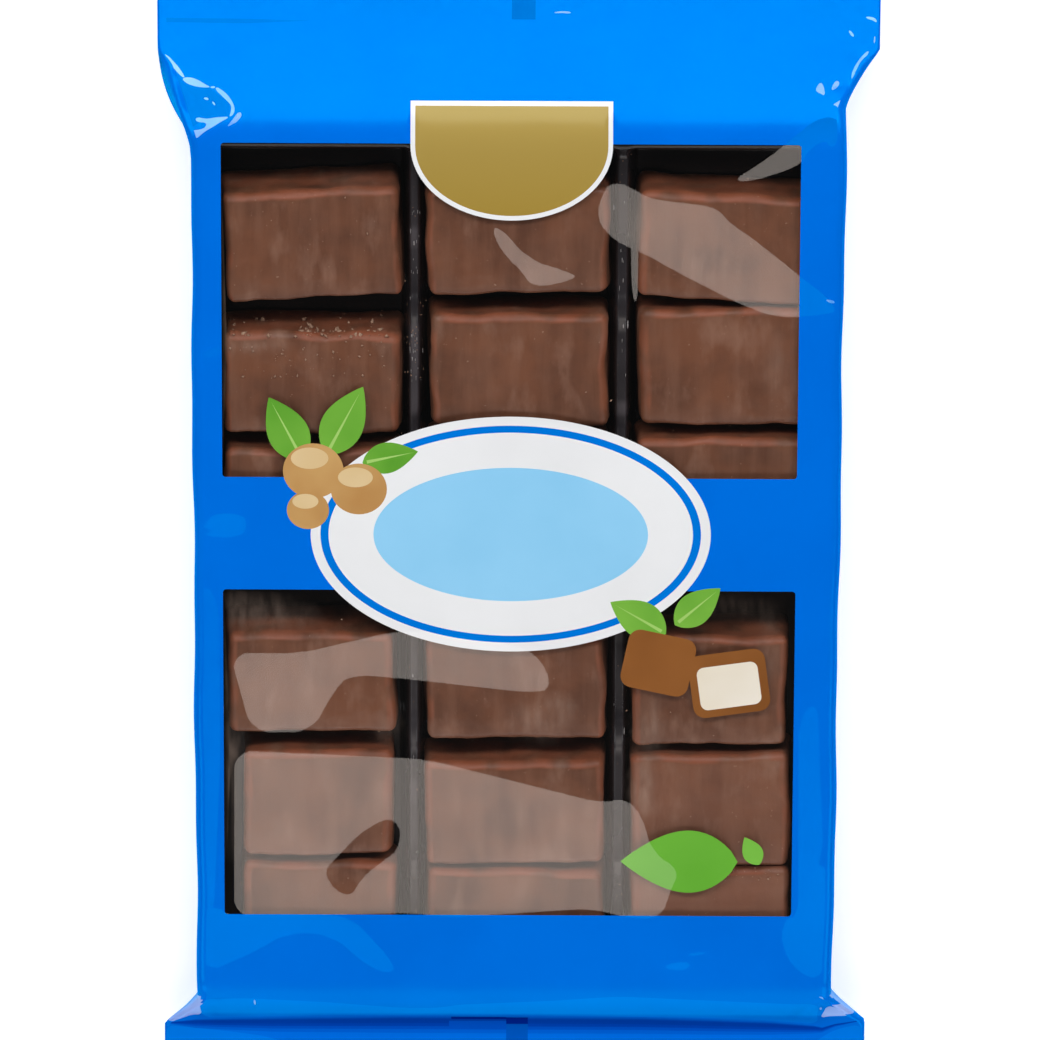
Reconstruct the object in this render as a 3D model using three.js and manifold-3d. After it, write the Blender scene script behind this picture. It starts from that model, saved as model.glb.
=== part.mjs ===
// A sealed flow pack of chocolate coated nougat pieces, lying on its back with the windows up.
// One web of film is wrapped round a shallow tray, joined along the back and crimped shut at both ends.
// Units are millimetres. +Z is up, +Y points to the head of the pack and +X to the right of its front.
// The origin is under the middle of the pack, on the plane that it rests on.
import * as THREE from 'three';
import { mergeVertices } from 'three/addons/utils/BufferGeometryUtils.js';
import Module from 'manifold-3d';

// The film over the tray
const HEAD_WIDTH = 120;
const FOOT_WIDTH = 119.4;
const BODY_HEIGHT = 16.2;
const WALL_DRAFT = 2;
const FRONT_EDGE_RADIUS = 1.8;
const BACK_EDGE_RADIUS = 2.4;

// The tray's ends, measured from the middle of the pack: the tray has slid to the foot
const TRAY_HEAD = 77.05;
const TRAY_FOOT = 87.6;
const SLOPE_ROUNDING = 3;

// The flat fins at both ends
const FIN_LINE = 95.1;
const FIN_WIDTH = 132.5;
const FIN_LEVEL = 7.5;
const FIN_THICKNESS = 0.8;
const SEAL_MARGIN = 4;
const CRIMP_LENGTH = 10;
const CRIMP_COUNT = 50;
const CRIMP_DEPTH = 0.3;
const TOOTH_DEPTH = 1.2;
const FIN_END = FIN_LINE + SEAL_MARGIN + CRIMP_LENGTH;

// The ears, where the side walls fold out into the fins: where each starts, its tip, and how far it bulges
const HEAD_LEFT_EAR = { start: 72, tip: 89.8, bulge: 1.6 };
const HEAD_RIGHT_EAR = { start: 80, tip: 90.3, bulge: 0 };
const FOOT_LEFT_EAR = { start: 89.1, tip: 95.6, bulge: 0 };
const FOOT_RIGHT_EAR = { start: 87.8, tip: 94.4, bulge: 0 };
const EAR_PULL_HEAD = 5.3;
const EAR_PULL_POWER = 8;
const EAR_FRONT_POWER = 1.25;

// The folds of film pushed in at the corners, as plan triangles, and how deep each is
const CORNER_FOLDS = [
  { depth: 1.6, plan: [[-60.5, 73], [-51.5, 80], [-65.5, 90]] },
  { depth: 0.9, plan: [[60, 79], [57.5, 84], [65.5, 90]] },
  { depth: 0.8, plan: [[-59.7, -86.5], [-58.5, -90.5], [-65.5, -94]] },
  { depth: 0.9, plan: [[59.7, -86.5], [55.5, -91], [65.5, -94]] },
];

// The two troughs of the tray, where the film sags between the decks
const TROUGHS = [[-82.6, -9.8], [-0.8, 72]];
const FRONT_SAG = 0.7;

// The seam along the back, pressed flat between two grooves
const SEAM_WIDTH = 5;
const GROOVE_WIDTH = 0.6;
const GROOVE_DEPTH = 0.3;

// How finely the film is divided
const FRONT_STEPS = 28;
const ARC_STEPS = 3;
const BODY_STEPS = 18;
const SLOPE_STEPS_HEAD = 12;
const SLOPE_STEPS_FOOT = 8;

const mix = (a, b, t) => a + (b - a) * t;
const clamp01 = (t) => Math.min(Math.max(t, 0), 1);

function softPositive(v) {
  // 0 below, v above, and a round bend between them, so that what lies before the bend is truly flat
  if (Math.abs(v) >= SLOPE_ROUNDING) return Math.max(v, 0);
  return (v + SLOPE_ROUNDING) ** 2 / (4 * SLOPE_ROUNDING);
}

function closing(y, pull) {
  // 0 over the tray and 1 at the fins, with the two bends rounded; pull brings the fin line nearer
  const tray = y > 0 ? TRAY_HEAD : TRAY_FOOT;
  const run = FIN_LINE - tray - pull;
  const past = Math.abs(y) - tray;
  return (softPositive(past) - softPositive(past - run)) / run;
}

function earPull(x, y) {
  const reach = clamp01(Math.abs(x) / (FIN_WIDTH / 2));
  return y > 0 ? EAR_PULL_HEAD * reach ** EAR_PULL_POWER : 0;
}

function sag(x, y) {
  // Each trough carries a shallow dish of film that fades out at the side walls
  const trough = TROUGHS.find(([foot, head]) => y > foot && y < head);
  if (!trough) return 0;
  const along = Math.sin((Math.PI * (y - trough[0])) / (trough[1] - trough[0]));
  const across = Math.cos((Math.PI * clamp01(Math.abs(x) / (FOOT_WIDTH / 2))) / 2);
  return FRONT_SAG * along * across;
}

function foldDepth(x, y, { depth, plan }) {
  // A three sided dent: deepest in the middle of its triangle, with a crease along each side
  const [[ax, ay], [bx, by], [cx, cy]] = plan;
  const area = (bx - ax) * (cy - ay) - (cx - ax) * (by - ay);
  const nearB = ((x - ax) * (cy - ay) - (cx - ax) * (y - ay)) / area;
  const nearC = ((bx - ax) * (y - ay) - (x - ax) * (by - ay)) / area;
  const nearA = 1 - nearB - nearC;
  return depth * 3 * Math.max(0, Math.min(nearA, nearB, nearC));
}

function frontHeight(x, y) {
  const top = FIN_LEVEL + FIN_THICKNESS / 2;
  const dents = CORNER_FOLDS.reduce((sum, fold) => sum + foldDepth(x, y, fold), 0);
  const height = mix(BODY_HEIGHT, top, closing(y, earPull(x, y))) - sag(x, y) - dents;
  return Math.max(height, top);
}

function backHeight(x, y) {
  return mix(0, FIN_LEVEL - FIN_THICKNESS / 2, closing(y, earPull(x, y)));
}

function earAt(side, y) {
  if (y < 0) return side < 0 ? FOOT_LEFT_EAR : FOOT_RIGHT_EAR;
  return side < 0 ? HEAD_LEFT_EAR : HEAD_RIGHT_EAR;
}

function wall(side, y) {
  // The half widths of one side wall: at the front edge, at the outer fold and at the back edge
  const { start, tip, bulge } = earAt(side, y);
  const ear = clamp01((Math.abs(y) - start) / (tip - start));
  const along = clamp01((y + TRAY_FOOT) / (TRAY_HEAD + TRAY_FOOT));
  const tray = mix(FOOT_WIDTH, HEAD_WIDTH, along) / 2;
  const front = mix(tray, FIN_WIDTH / 2, ear ** EAR_FRONT_POWER);
  const back = front - WALL_DRAFT * (1 - ear);
  const straight = mix(tray - WALL_DRAFT / 2, FIN_WIDTH / 2, ear);
  const fold = ear > 0 ? Math.max(front, straight + bulge * Math.sin(Math.PI * ear)) : straight;
  return { front, fold, back };
}

function roundedEdge(centreX, centreZ, radius, side, from, to) {
  // A quarter of rounded edge, from one angle to the other, in the section's plane
  return Array.from({ length: ARC_STEPS + 1 }, (_, i) => {
    const angle = mix(from, to, i / ARC_STEPS);
    return [centreX + side * radius * Math.cos(angle), centreZ + radius * Math.sin(angle)];
  });
}

function sidePoints(side, y) {
  // From the front edge, over the outer fold, to the back edge
  const { front, fold, back } = wall(side, y);
  const top = frontHeight(side * front, y);
  const bottom = backHeight(side * back, y);
  const most = 0.45 * (top - bottom);
  const frontRadius = Math.min(FRONT_EDGE_RADIUS, most);
  const backRadius = Math.min(BACK_EDGE_RADIUS, most);
  const quarter = Math.PI / 2;
  return [
    ...roundedEdge(side * (front - frontRadius), top - frontRadius, frontRadius, side, quarter, 0),
    [side * fold, (top + bottom) / 2],
    ...roundedEdge(side * (back - backRadius), bottom + backRadius, backRadius, side, 0, -quarter),
  ];
}

function section(y) {
  // The film's closed outline at one place along the pack: front, right side, back and left side
  const right = sidePoints(1, y);
  const left = sidePoints(-1, y);
  const [startX] = left[0];
  const [endX] = right[0];
  const front = Array.from({ length: FRONT_STEPS - 1 }, (_, i) => {
    const even = (i + 1) / FRONT_STEPS;
    const crowded = (1 - Math.cos(Math.PI * even)) / 2;
    const x = mix(startX, endX, mix(even, crowded, 0.45));
    return [x, frontHeight(x, y)];
  });
  const halfSeam = SEAM_WIDTH / 2;
  const grooves = [1, -1].flatMap((side) => [0, 0.5, 1].map((part) => {
    const x = side * (halfSeam + GROOVE_WIDTH * (side > 0 ? 1 - part : part));
    return [x, backHeight(x, y) + (part === 0.5 ? GROOVE_DEPTH : 0)];
  }));
  const quarters = [0.66, 0.33].map((part) => part * right.at(-1)[0]);
  const plainRight = quarters.map((x) => [x, backHeight(x, y)]);
  const plainLeft = plainRight.map(([x, z]) => [-x, z]).reverse();
  return [...front, ...right, ...plainRight, ...grooves, ...plainLeft, ...left.reverse()];
}

function stations() {
  // Places along the pack, closer together where the film slopes to the fins
  const spread = (from, to, steps) => Array.from({ length: steps }, (_, i) => mix(from, to, i / steps));
  const end = FIN_LINE + SEAL_MARGIN;
  const bend = 3;
  return [
    ...spread(-end, -FIN_LINE - 1, 1),
    ...spread(-FIN_LINE - 1, -TRAY_FOOT + bend, SLOPE_STEPS_FOOT),
    ...spread(-TRAY_FOOT + bend, TRAY_HEAD - bend, BODY_STEPS),
    ...spread(TRAY_HEAD - bend, FIN_LINE + 1, SLOPE_STEPS_HEAD),
    FIN_LINE + 1,
    end,
  ];
}

function wrappedBody() {
  const rows = stations().map((y) => section(y).map(([x, z]) => [x, y, z]));
  const count = rows[0].length;
  const positions = rows.flat(2);
  const index = [];
  for (let row = 0; row + 1 < rows.length; row += 1) {
    for (let i = 0; i < count; i += 1) {
      const here = row * count + i;
      const next = row * count + ((i + 1) % count);
      index.push(here, next, next + count, here, next + count, here + count);
    }
  }
  for (const row of [0, rows.length - 1]) {
    const centre = positions.length / 3;
    positions.push(0, rows[row][0][1], FIN_LEVEL);
    for (let i = 0; i < count; i += 1) {
      const here = row * count + i;
      const next = row * count + ((i + 1) % count);
      index.push(...(row === 0 ? [next, here, centre] : [here, next, centre]));
    }
  }
  const geometry = new THREE.BufferGeometry();
  geometry.setAttribute('position', new THREE.Float32BufferAttribute(positions, 3));
  geometry.setIndex(index);
  return geometry;
}

function crimpedBand(end) {
  // The ridges of the end seal run along the pack, and reach back into the plain margin
  const pitch = FIN_WIDTH / CRIMP_COUNT;
  const half = FIN_WIDTH / 2;
  const crest = (i) => (i % 2 === 0 ? -CRIMP_DEPTH / 2 : CRIMP_DEPTH / 2);
  const edge = Array.from({ length: 2 * CRIMP_COUNT + 1 }, (_, i) => [(i * pitch) / 2 - half, crest(i)]);
  const over = edge.map(([x, z]) => new THREE.Vector2(x, z + FIN_THICKNESS / 2));
  const under = edge.map(([x, z]) => new THREE.Vector2(x, z - FIN_THICKNESS / 2)).reverse();
  const band = new THREE.ExtrudeGeometry(new THREE.Shape([...under, ...over]), {
    depth: CRIMP_LENGTH + 1,
    bevelEnabled: false,
    steps: 1,
  });
  band.rotateX(Math.PI / 2);
  band.translate(0, end > 0 ? FIN_END : -FIN_END + CRIMP_LENGTH + 1, FIN_LEVEL);
  return band;
}

function toothedPlan(end) {
  // The zigzag cut at the end of a fin, as an upright prism that the band is cut with
  const pitch = FIN_WIDTH / CRIMP_COUNT;
  const half = FIN_WIDTH / 2;
  const inner = FIN_END - CRIMP_LENGTH - 2;
  const teeth = Array.from({ length: 2 * CRIMP_COUNT + 1 }, (_, i) => {
    const y = FIN_END - (i % 2 === 0 ? TOOTH_DEPTH : 0);
    return new THREE.Vector2((i * pitch) / 2 - half, end * y);
  });
  const outline = [new THREE.Vector2(-half, end * inner), ...teeth, new THREE.Vector2(half, end * inner)];
  const prism = new THREE.ExtrudeGeometry(new THREE.Shape(outline), { depth: BODY_HEIGHT, bevelEnabled: false });
  return prism;
}

const wasm = await Module();
wasm.setup();

function solid(geometry) {
  const plain = geometry.clone();
  plain.deleteAttribute('normal');
  plain.deleteAttribute('uv');
  const merged = mergeVertices(plain, 1e-4);
  return new wasm.Manifold(new wasm.Mesh({
    numProp: 3,
    vertProperties: Float32Array.from(merged.attributes.position.array),
    triVerts: Uint32Array.from(merged.index.array),
  }));
}

function surface(manifold) {
  const mesh = manifold.getMesh();
  const geometry = new THREE.BufferGeometry();
  geometry.setAttribute('position', new THREE.BufferAttribute(mesh.vertProperties, 3));
  geometry.setIndex(new THREE.BufferAttribute(mesh.triVerts, 1));
  geometry.computeVertexNormals();
  return geometry;
}

function filledPack() {
  const fins = [1, -1].map((end) => solid(crimpedBand(end)).intersect(solid(toothedPlan(end))));
  return surface(fins.reduce((pack, fin) => pack.add(fin), solid(wrappedBody())));
}

const printedFilm = new THREE.MeshStandardMaterial({ color: 0x006cdc, roughness: 0.28, metalness: 0 });

const nougatPack = new THREE.Group();
const pack = new THREE.Mesh(filledPack(), printedFilm);
pack.name = 'pack';
nougatPack.add(pack);

export default nougatPack;
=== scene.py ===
"""A sealed flow pack of chocolate coated nougat pieces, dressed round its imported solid.

One web of film is printed blue, with two clear windows. Under it lies a black tray with three columns
of pieces. The functions work in millimetres and the scene is in metres. +X is to the right of the
front, +Y points to the head of the pack and +Z comes out of the windows.
"""
import math
import random

import bpy
import numpy as np
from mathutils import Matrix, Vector, noise
from mathutils.geometry import delaunay_2d_cdt


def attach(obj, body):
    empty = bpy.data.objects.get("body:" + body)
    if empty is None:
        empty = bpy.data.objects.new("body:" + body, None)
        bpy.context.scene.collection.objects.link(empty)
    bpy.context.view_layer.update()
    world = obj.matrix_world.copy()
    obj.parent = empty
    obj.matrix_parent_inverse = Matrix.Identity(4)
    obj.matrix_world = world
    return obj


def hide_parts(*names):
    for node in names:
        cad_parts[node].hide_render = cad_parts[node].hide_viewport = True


bl_info = {
    "name": "Nougat pack",
    "version": (1, 0, 0),
    "blender": (4, 5, 0),
    "location": "3D View > Sidebar > Nougat pack",
    "description": "Builds a sealed pack of chocolate coated nougat pieces round its packed solid",
    "category": "Add Mesh",
}

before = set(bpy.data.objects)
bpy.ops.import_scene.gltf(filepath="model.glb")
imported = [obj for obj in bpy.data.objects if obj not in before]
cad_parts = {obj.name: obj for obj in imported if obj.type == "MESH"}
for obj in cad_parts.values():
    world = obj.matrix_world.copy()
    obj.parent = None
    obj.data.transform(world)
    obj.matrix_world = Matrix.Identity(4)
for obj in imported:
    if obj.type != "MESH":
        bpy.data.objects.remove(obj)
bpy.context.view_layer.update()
MM = 0.001

# The film over the tray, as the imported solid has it
HEAD_WIDTH = 120.0
FOOT_WIDTH = 119.4
BODY_HEIGHT = 16.2
WALL_DRAFT = 2.0
FRONT_EDGE_RADIUS = 1.8
BACK_EDGE_RADIUS = 2.4
TRAY_HEAD = 77.05
TRAY_FOOT = 87.6
SLOPE_ROUNDING = 3.0
# Between these the film lies flat over the tray, and its mesh is coarser
FLAT_HEAD = TRAY_HEAD - 4
FLAT_FOOT = 3 - TRAY_FOOT

# The fins and the ears beside them
FIN_LINE = 95.1
FIN_WIDTH = 132.5
FIN_LEVEL = 7.5
FIN_THICKNESS = 0.8
SEAL_LAP = 0.8
SEAL_MARGIN = 4.0
CRIMP_LENGTH = 10.0
CRIMP_COUNT = 50
CRIMP_DEPTH = 0.3
CRIMP_FADE = 1.4
TOOTH_DEPTH = 1.2
FILM_END = FIN_LINE + SEAL_MARGIN + SEAL_LAP
FIN_END = FIN_LINE + SEAL_MARGIN + CRIMP_LENGTH
EAR_PULL_HEAD = 5.3
EAR_PULL_POWER = 8
EAR_FRONT_POWER = 1.25
# Each ear by its side and its end of the pack: where it starts, its tip, and how far it bulges
EARS = {
    (-1, 1): (72.0, 89.8, 1.6),
    (1, 1): (80.0, 90.3, 0.0),
    (-1, -1): (89.1, 95.6, 0.0),
    (1, -1): (87.8, 94.4, 0.0),
}

# The slope that the film's shine shows at the head, place by place, and on to the end of the fin
HEAD_SHINE = ([72.5, 76.5, 81.5, 84.5], [0.0, 0.345, 0.435, 0.46])
# At the foot the shine stays that of the flat front, and below the fold that of a fin bent up a little
FOOT_RUN = -84.0
FIN_SHINE = -93.2
FIN_BEND = 0.1
# How much of the film's real lean the shine keeps: along the head's slope, across it, and at the foot
HEAD_ALONG = 0.2
HEAD_ACROSS = 0.3
FOOT_LEAN = 0.1

# The seam along the back
SEAM_WIDTH = 5.0
GROOVE_WIDTH = 0.6
GROOVE_DEPTH = 0.3

# The folds of film pushed in at the corners: depth, then three corners in plan
CORNER_FOLDS = [
    (1.6, (-60.5, 73.0), (-51.5, 80.0), (-65.5, 90.0)),
    (0.9, (60.0, 79.0), (57.5, 84.0), (65.5, 90.0)),
    (0.8, (-59.7, -86.5), (-58.5, -90.5), (-65.5, -94.0)),
    (0.9, (59.7, -86.5), (55.5, -91.0), (65.5, -94.0)),
]

# Creases of the film near its corners: depth, half width, and the two ends in plan
CREASES = [
    (0.12, 1.6, (-65.5, 90.5), (-52.5, 80.5)),
    (0.20, 1.4, (-62.5, 84.0), (-57.0, 75.5)),
    (0.18, 1.3, (64.5, 91.0), (60.5, 80.5)),
    (0.12, 1.2, (62.0, 87.0), (54.0, 82.0)),
    (0.25, 1.2, (-59.0, -86.0), (-56.0, -93.5)),
    (0.25, 1.2, (58.5, -86.0), (52.5, -92.5)),
]

# The tray's two troughs, its three columns with ribs between them, and where the film sags into it
TROUGHS = [(-82.6, -9.8), (-0.8, 72.0)]
FILM_SAG = 0.3
COLUMNS = [(-56.2, -20.6), (-17.4, 17.4), (21.0, 56.2)]
TRAY_EDGES = (-58.2, 58.2, -86.0, 75.4)
DECK_HEIGHT = 15.2
RIB_CREST = 12.2
RIB_REACH = 40.0
RIB_LINES = [-19.0, 19.2]
TRAY_FLOOR = 0.65
TRAY_SHEET = 0.35
TROUGH_DRAFT = 2.4
COLUMN_DRAFT = 2.0
# The dips across the ribs: where along the pack, how deep and how long
RIB_DIPS = (41.2, 43.6, -36.4, -38.8, 18.0, -62.4)
DIP_DEPTH = 0.7
DIP_LENGTH = 1.1
# The ribs' flats with the most painted sheen: side, and from where to where
SHEEN_FLATS = [(-1, 54.0, 57.6), (-1, 23.5, 40.0), (1, 22.6, 25.2), (-1, -52.0, -47.0), (1, -20.5, -17.5)]
GLINT_HEIGHT = 0.16
# Middle in plan, width and length of each painted glint on the ribs: a pale sliver standing for a highlight
RIB_GLINTS = [
    (-19.35, 40.8, 0.24, 1.4), (-18.5, 40.9, 0.28, 1.5), (19.5, 39.9, 0.24, 1.6), (20.3, 39.8, 0.22, 1.5),
    (-19.3, -36.0, 0.22, 1.5), (-18.5, -36.1, 0.26, 1.4), (19.4, -37.2, 0.22, 1.4), (20.2, -37.3, 0.22, 1.3),
    (-19.4, 33.2, 0.2, 0.7), (-18.9, 34.6, 0.18, 0.4), (-19.1, 54.8, 0.22, 0.8), (-18.4, -14.2, 0.2, 0.6),
]

# Flat facets of tight film, which lean to the foot and so mirror the softbox: share of the full lean, and
# plan. A later one lies over those before it, and one without any lean mirrors only the dim room.
FACET_LEAN = 10.45
FACET_LEAN_RISE = 0.0231
FACET_ROUNDING = 2.2
FACETS = [
    (1.0, [(17.2, 67.5), (22.6, 64.9), (24.1, 63.8), (31.4, 63.0), (36.5, 62.3), (38.7, 59.4), (42.8, 56.8),
           (45.4, 54.6), (48.4, 52.4), (52.4, 49.0), (56.5, 46.1), (58.3, 43.6), (58.3, 42.8), (52.0, 42.0),
           (47.5, 42.0), (41.7, 43.9), (35.8, 46.9), (29.9, 49.9), (22.6, 54.0), (18.9, 55.4), (16.3, 57.4),
           (14.5, 60.0), (15.0, 64.0)]),
    (1.0, [(39.2, 67.4), (42.6, 69.4), (46.6, 72.2), (50.7, 75.7), (54.7, 78.9), (58.3, 78.9),
           (58.3, 77.2), (58.3, 74.3), (57.0, 73.2), (56.0, 75.2), (52.4, 72.4), (51.8, 70.2), (42.3, 67.0)]),
    (1.0, [(-5.2, 58.1), (-3.0, 58.5), (1.7, 52.5), (10.0, 50.0), (10.9, 48.9), (2.6, 47.0),
           (0.7, 50.6), (-2.0, 52.5)]),
    (1.0, [(-53.2, -21.8), (-40.0, -21.8), (-22.4, -17.5), (-16.0, -17.6), (3.5, -20.9),
           (7.2, -28.4), (2.6, -29.2), (-21.5, -26.5), (-30.7, -25.8), (-33.5, -28.4),
           (-38.1, -36.9), (-49.2, -36.9)]),
    (1.0, [(-52.4, -40.4), (-16.8, -42.0), (16.4, -50.4), (20.0, -49.2), (23.5, -52.0),
           (25.5, -60.0), (31.0, -63.0), (29.0, -67.0), (27.5, -72.6), (21.5, -72.6), (14.5, -70.6),
           (-13.0, -72.6), (-18.5, -71.6), (-52.6, -72.6)]),
    (0.0, [(-21.9, -52.9), (-27.5, -54.8), (-33.5, -61.0), (-36.4, -64.5), (-31.0, -69.5),
           (-29.0, -65.0), (-24.5, -61.5), (-21.3, -59.0)]),
    (1.0, [(-59.3, -70.8), (-54.6, -70.8), (-54.6, -72.2), (-30.9, -72.2), (-22.6, -81.4), (-22.9, -83.6),
           (-27.4, -82.3), (-34.4, -75.9), (-42.7, -75.5), (-48.3, -79.1), (-58.4, -83.6)]),
    (1.0, [(53.0, -63.0), (58.3, -61.0), (58.3, -83.6), (54.0, -84.0), (49.7, -78.0), (50.4, -72.2),
           (53.0, -72.2)]),
    (1.0, [(26.5, -81.9), (33.2, -80.4), (32.3, -83.0)]),
    (1.0, [(31.9, -79.3), (36.8, -78.9), (33.6, -79.9)]),
    (0.6, [(-55.7, 4.8), (-50.7, 4.6), (-49.8, 2.8), (-50.7, 0.0), (-59.0, 0.4), (-57.0, 3.6)]),
    (0.5, [(-58.6, 34.4), (-57.0, 35.4), (-54.6, 36.4), (-54.6, 34.4), (-56.8, 33.8)]),
    (1.0, [(20.6, 60.6), (22.1, 60.2), (22.0, 44.0), (20.9, 46.0)]),
    (0.44, [(-58.2, -8.0), (-55.2, -12.0), (-55.0, -40.0), (-56.4, -72.0), (-58.2, -70.0)]),
    (0.42, [(52.6, -34.0), (56.0, -30.0), (57.6, -60.0), (53.0, -71.0)]),
]

# Where chocolate has rubbed off on the inside of the clear film: middle and half size in plan, and how much
SMEARS = [
    (-51.0, -13.8, 3.4, 3.4, 0.13), (-45.0, -14.4, 2.6, 3.2, 0.10), (-40.0, -15.0, 3.4, 2.6, 0.07),
    (-53.4, -41.0, 2.6, 4.2, 0.13), (-53.4, -33.0, 1.6, 5.0, 0.06), (4.6, -34.2, 5.0, 3.0, 0.16),
    (8.0, -31.6, 2.6, 1.8, 0.14), (25.0, -35.4, 2.2, 4.2, 0.2), (23.8, -47.4, 1.9, 4.8, 0.2),
    (-51.0, 35.6, 4.6, 1.0, 0.18), (-46.0, 36.2, 3.6, 0.8, 0.1), (47.5, 33.0, 2.4, 7.0, 0.08),
    (40.0, -12.8, 8.0, 3.0, 0.04), (47.0, -22.0, 2.2, 7.0, 0.08), (-30.0, 66.4, 7.0, 2.4, 0.05),
    (22.0, 59.0, 2.2, 4.0, 0.08), (-24.0, -36.0, 2.2, 2.6, 0.1), (12.0, -56.0, 5.0, 3.0, 0.05),
]

# A smear thinner than this isn't seen
SMEAR_END = 0.012

# Where the tight film at the foot catches more light, painted as a lighter blue ink, in plan
BRIGHT_FILM = [
    [(-59.5, -89.3), (-51.0, -88.8), (-35.0, -89.8), (-21.5, -91.3), (-14.0, -91.2), (-10.8, -90.3),
     (6.6, -89.2), (19.5, -88.0), (36.0, -88.9), (52.0, -89.8), (57.5, -89.8), (57.0, -92.5),
     (57.5, -95.2), (48.0, -94.3), (35.0, -93.7), (1.0, -93.2), (-34.6, -93.4), (-46.0, -93.8),
     (-59.5, -94.2)],
    [(-66.2, -95.9), (-62.8, -96.3), (-53.4, -97.3), (-46.0, -98.4), (-43.0, -99.85), (-66.2, -99.85)],
    [(66.2, -95.0), (61.5, -96.0), (58.5, -97.6), (56.0, -99.85), (66.2, -99.85)],
]

# Painted highlights along the film's sharp creases, in pale blue ink at the head and pale lilac ink at the
# foot, in plan
CREASE_HIGHLIGHTS = [
    [(-65.5, 89.3), (-64.7, 88.5), (-63.8, 87.5), (-62.9, 86.4), (-61.5, 85.1), (-61.0, 85.2), (-62.2, 86.9),
     (-63.3, 88.0), (-64.3, 88.9)],
    [(-61.6, 85.0), (-60.5, 85.3), (-58.9, 85.0), (-57.1, 84.0), (-56.2, 83.6), (-57.8, 83.5), (-60.0, 83.8),
     (-61.2, 84.4)],
    [(-56.4, 83.5), (-55.6, 83.4), (-55.4, 83.8), (-56.2, 83.8)],
    [(-55.3, 83.7), (-54.4, 83.3), (-53.3, 82.5), (-52.5, 81.5), (-52.0, 80.6), (-51.8, 79.7), (-52.1, 78.9),
     (-52.8, 78.5), (-52.6, 79.2), (-52.4, 80.1), (-52.7, 80.8), (-53.5, 81.5), (-54.6, 82.5), (-55.4, 83.2)],
    [(-52.6, 78.6), (-54.3, 77.7), (-55.9, 76.7), (-57.4, 75.8), (-58.8, 74.6), (-60.0, 74.3), (-60.1, 75.4),
     (-59.5, 76.1), (-57.8, 76.2), (-56.9, 76.9), (-57.2, 77.5), (-58.1, 77.4), (-59.1, 77.7), (-58.8, 78.3),
     (-57.9, 78.2), (-56.7, 78.1), (-55.4, 78.4)],
    [(-57.7, 81.7), (-56.8, 81.8), (-56.6, 81.3), (-57.3, 81.3)],
    [(-56.0, 81.2), (-55.4, 80.7), (-55.5, 80.3), (-56.0, 80.8)],
    [(63.4, 96.5), (65.0, 96.4), (65.6, 95.8), (65.5, 95.3), (64.9, 95.8), (63.9, 96.0)],
    [(60.4, 94.0), (60.9, 93.8), (61.5, 93.0), (61.2, 92.7), (60.6, 93.3)],
    [(64.2, 90.4), (64.0, 89.5), (62.9, 88.8), (62.2, 87.8), (61.5, 86.4), (61.1, 85.2), (60.8, 85.7),
     (61.2, 87.1), (62.1, 88.5), (63.1, 89.6)],
    [(-60.4, -88.6), (-59.5, -89.6), (-59.3, -91.4), (-59.1, -93.4), (-61.0, -93.4), (-62.4, -94.1),
     (-64.0, -94.8), (-66.2, -95.3), (-66.2, -89.0)],
    [(58.8, -90.5), (60.6, -90.9), (62.6, -90.4), (65.0, -92.8), (62.0, -93.0), (59.4, -93.1), (57.7, -93.6),
     (58.3, -92.0)],
]

# Smaller painted highlights, in a lighter blue ink, in plan
BLUE_HIGHLIGHTS = [
    [(54.2, 83.5), (54.6, 84.3), (55.1, 84.9), (55.6, 84.7), (56.0, 83.4), (55.9, 82.6), (55.3, 82.9)],
    [(57.1, 83.5), (57.5, 84.6), (58.2, 85.3), (58.7, 84.9), (58.5, 84.2), (57.8, 83.7)],
    [(57.3, 81.0), (58.3, 81.6), (59.2, 82.0), (59.1, 80.8), (58.5, 80.4), (58.0, 81.0)],
    [(-51.0, 79.6), (-50.4, 79.0), (-51.2, 77.8), (-53.4, 76.6), (-52.4, 77.8)],
    [(65.2, 93.1), (65.4, 92.3), (65.1, 91.3), (65.0, 92.2)],
    [(57.0, -87.9), (57.8, -87.9), (58.7, -88.4), (58.6, -88.6), (57.7, -88.4)],
    [(57.4, -91.1), (57.7, -90.7), (58.0, -91.1), (57.7, -91.5)],
    [(-49.2, -89.2), (-48.8, -89.2), (-48.7, -90.4), (-49.0, -90.8)],
    [(56.4, 45.4), (58.2, 45.1), (58.2, 44.5), (57.0, 44.8)],
    [(6.0, 96.9), (7.8, 97.3), (9.6, 97.1), (9.4, 96.8), (7.8, 96.9)],
]

# The ears whose upper sides take a painted highlight in the pale lilac ink: side, from where to where, and
# the inner edge's place and run
EAR_HIGHLIGHTS = [
    (-1, -93.4, -88.9, 58.9, 0.0), (-1, -95.3, -93.4, 58.9, 2.6),
    (1, -93.0, -90.5, 58.9, 0.0), (1, -90.5, -87.9, 59.1, 0.97),
]

# The painted shadow in the tight fold at the foot, in darker blue ink: its upper edge and how wide it is
FOLD_SHADOW_EDGE = [
    (-65.9, -95.4, 0.1), (-60.4, -94.5, 1.4), (-46.2, -94.0, 2.2), (-21.4, -93.4, 2.7), (1.1, -93.4, 2.7),
    (23.7, -93.5, 2.6), (35.0, -93.9, 2.4), (48.1, -94.5, 2.0), (56.7, -95.4, 1.2), (58.2, -95.8, 0.8),
    (60.6, -95.0, 0.5), (66.1, -94.0, 0.1),
]
# The painted shadow is deepest in its middle: name of the ink, and between which shares of the width it lies
FOLD_SHADOW_BANDS = [
    ("fold_shadow_faint", 0.05, 1.5), ("fold_shade", 0.16, 1.2), ("fold_shadow_line", 0.25, 0.95), ("fold_shadow_core", 0.35, 0.7),
]

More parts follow.
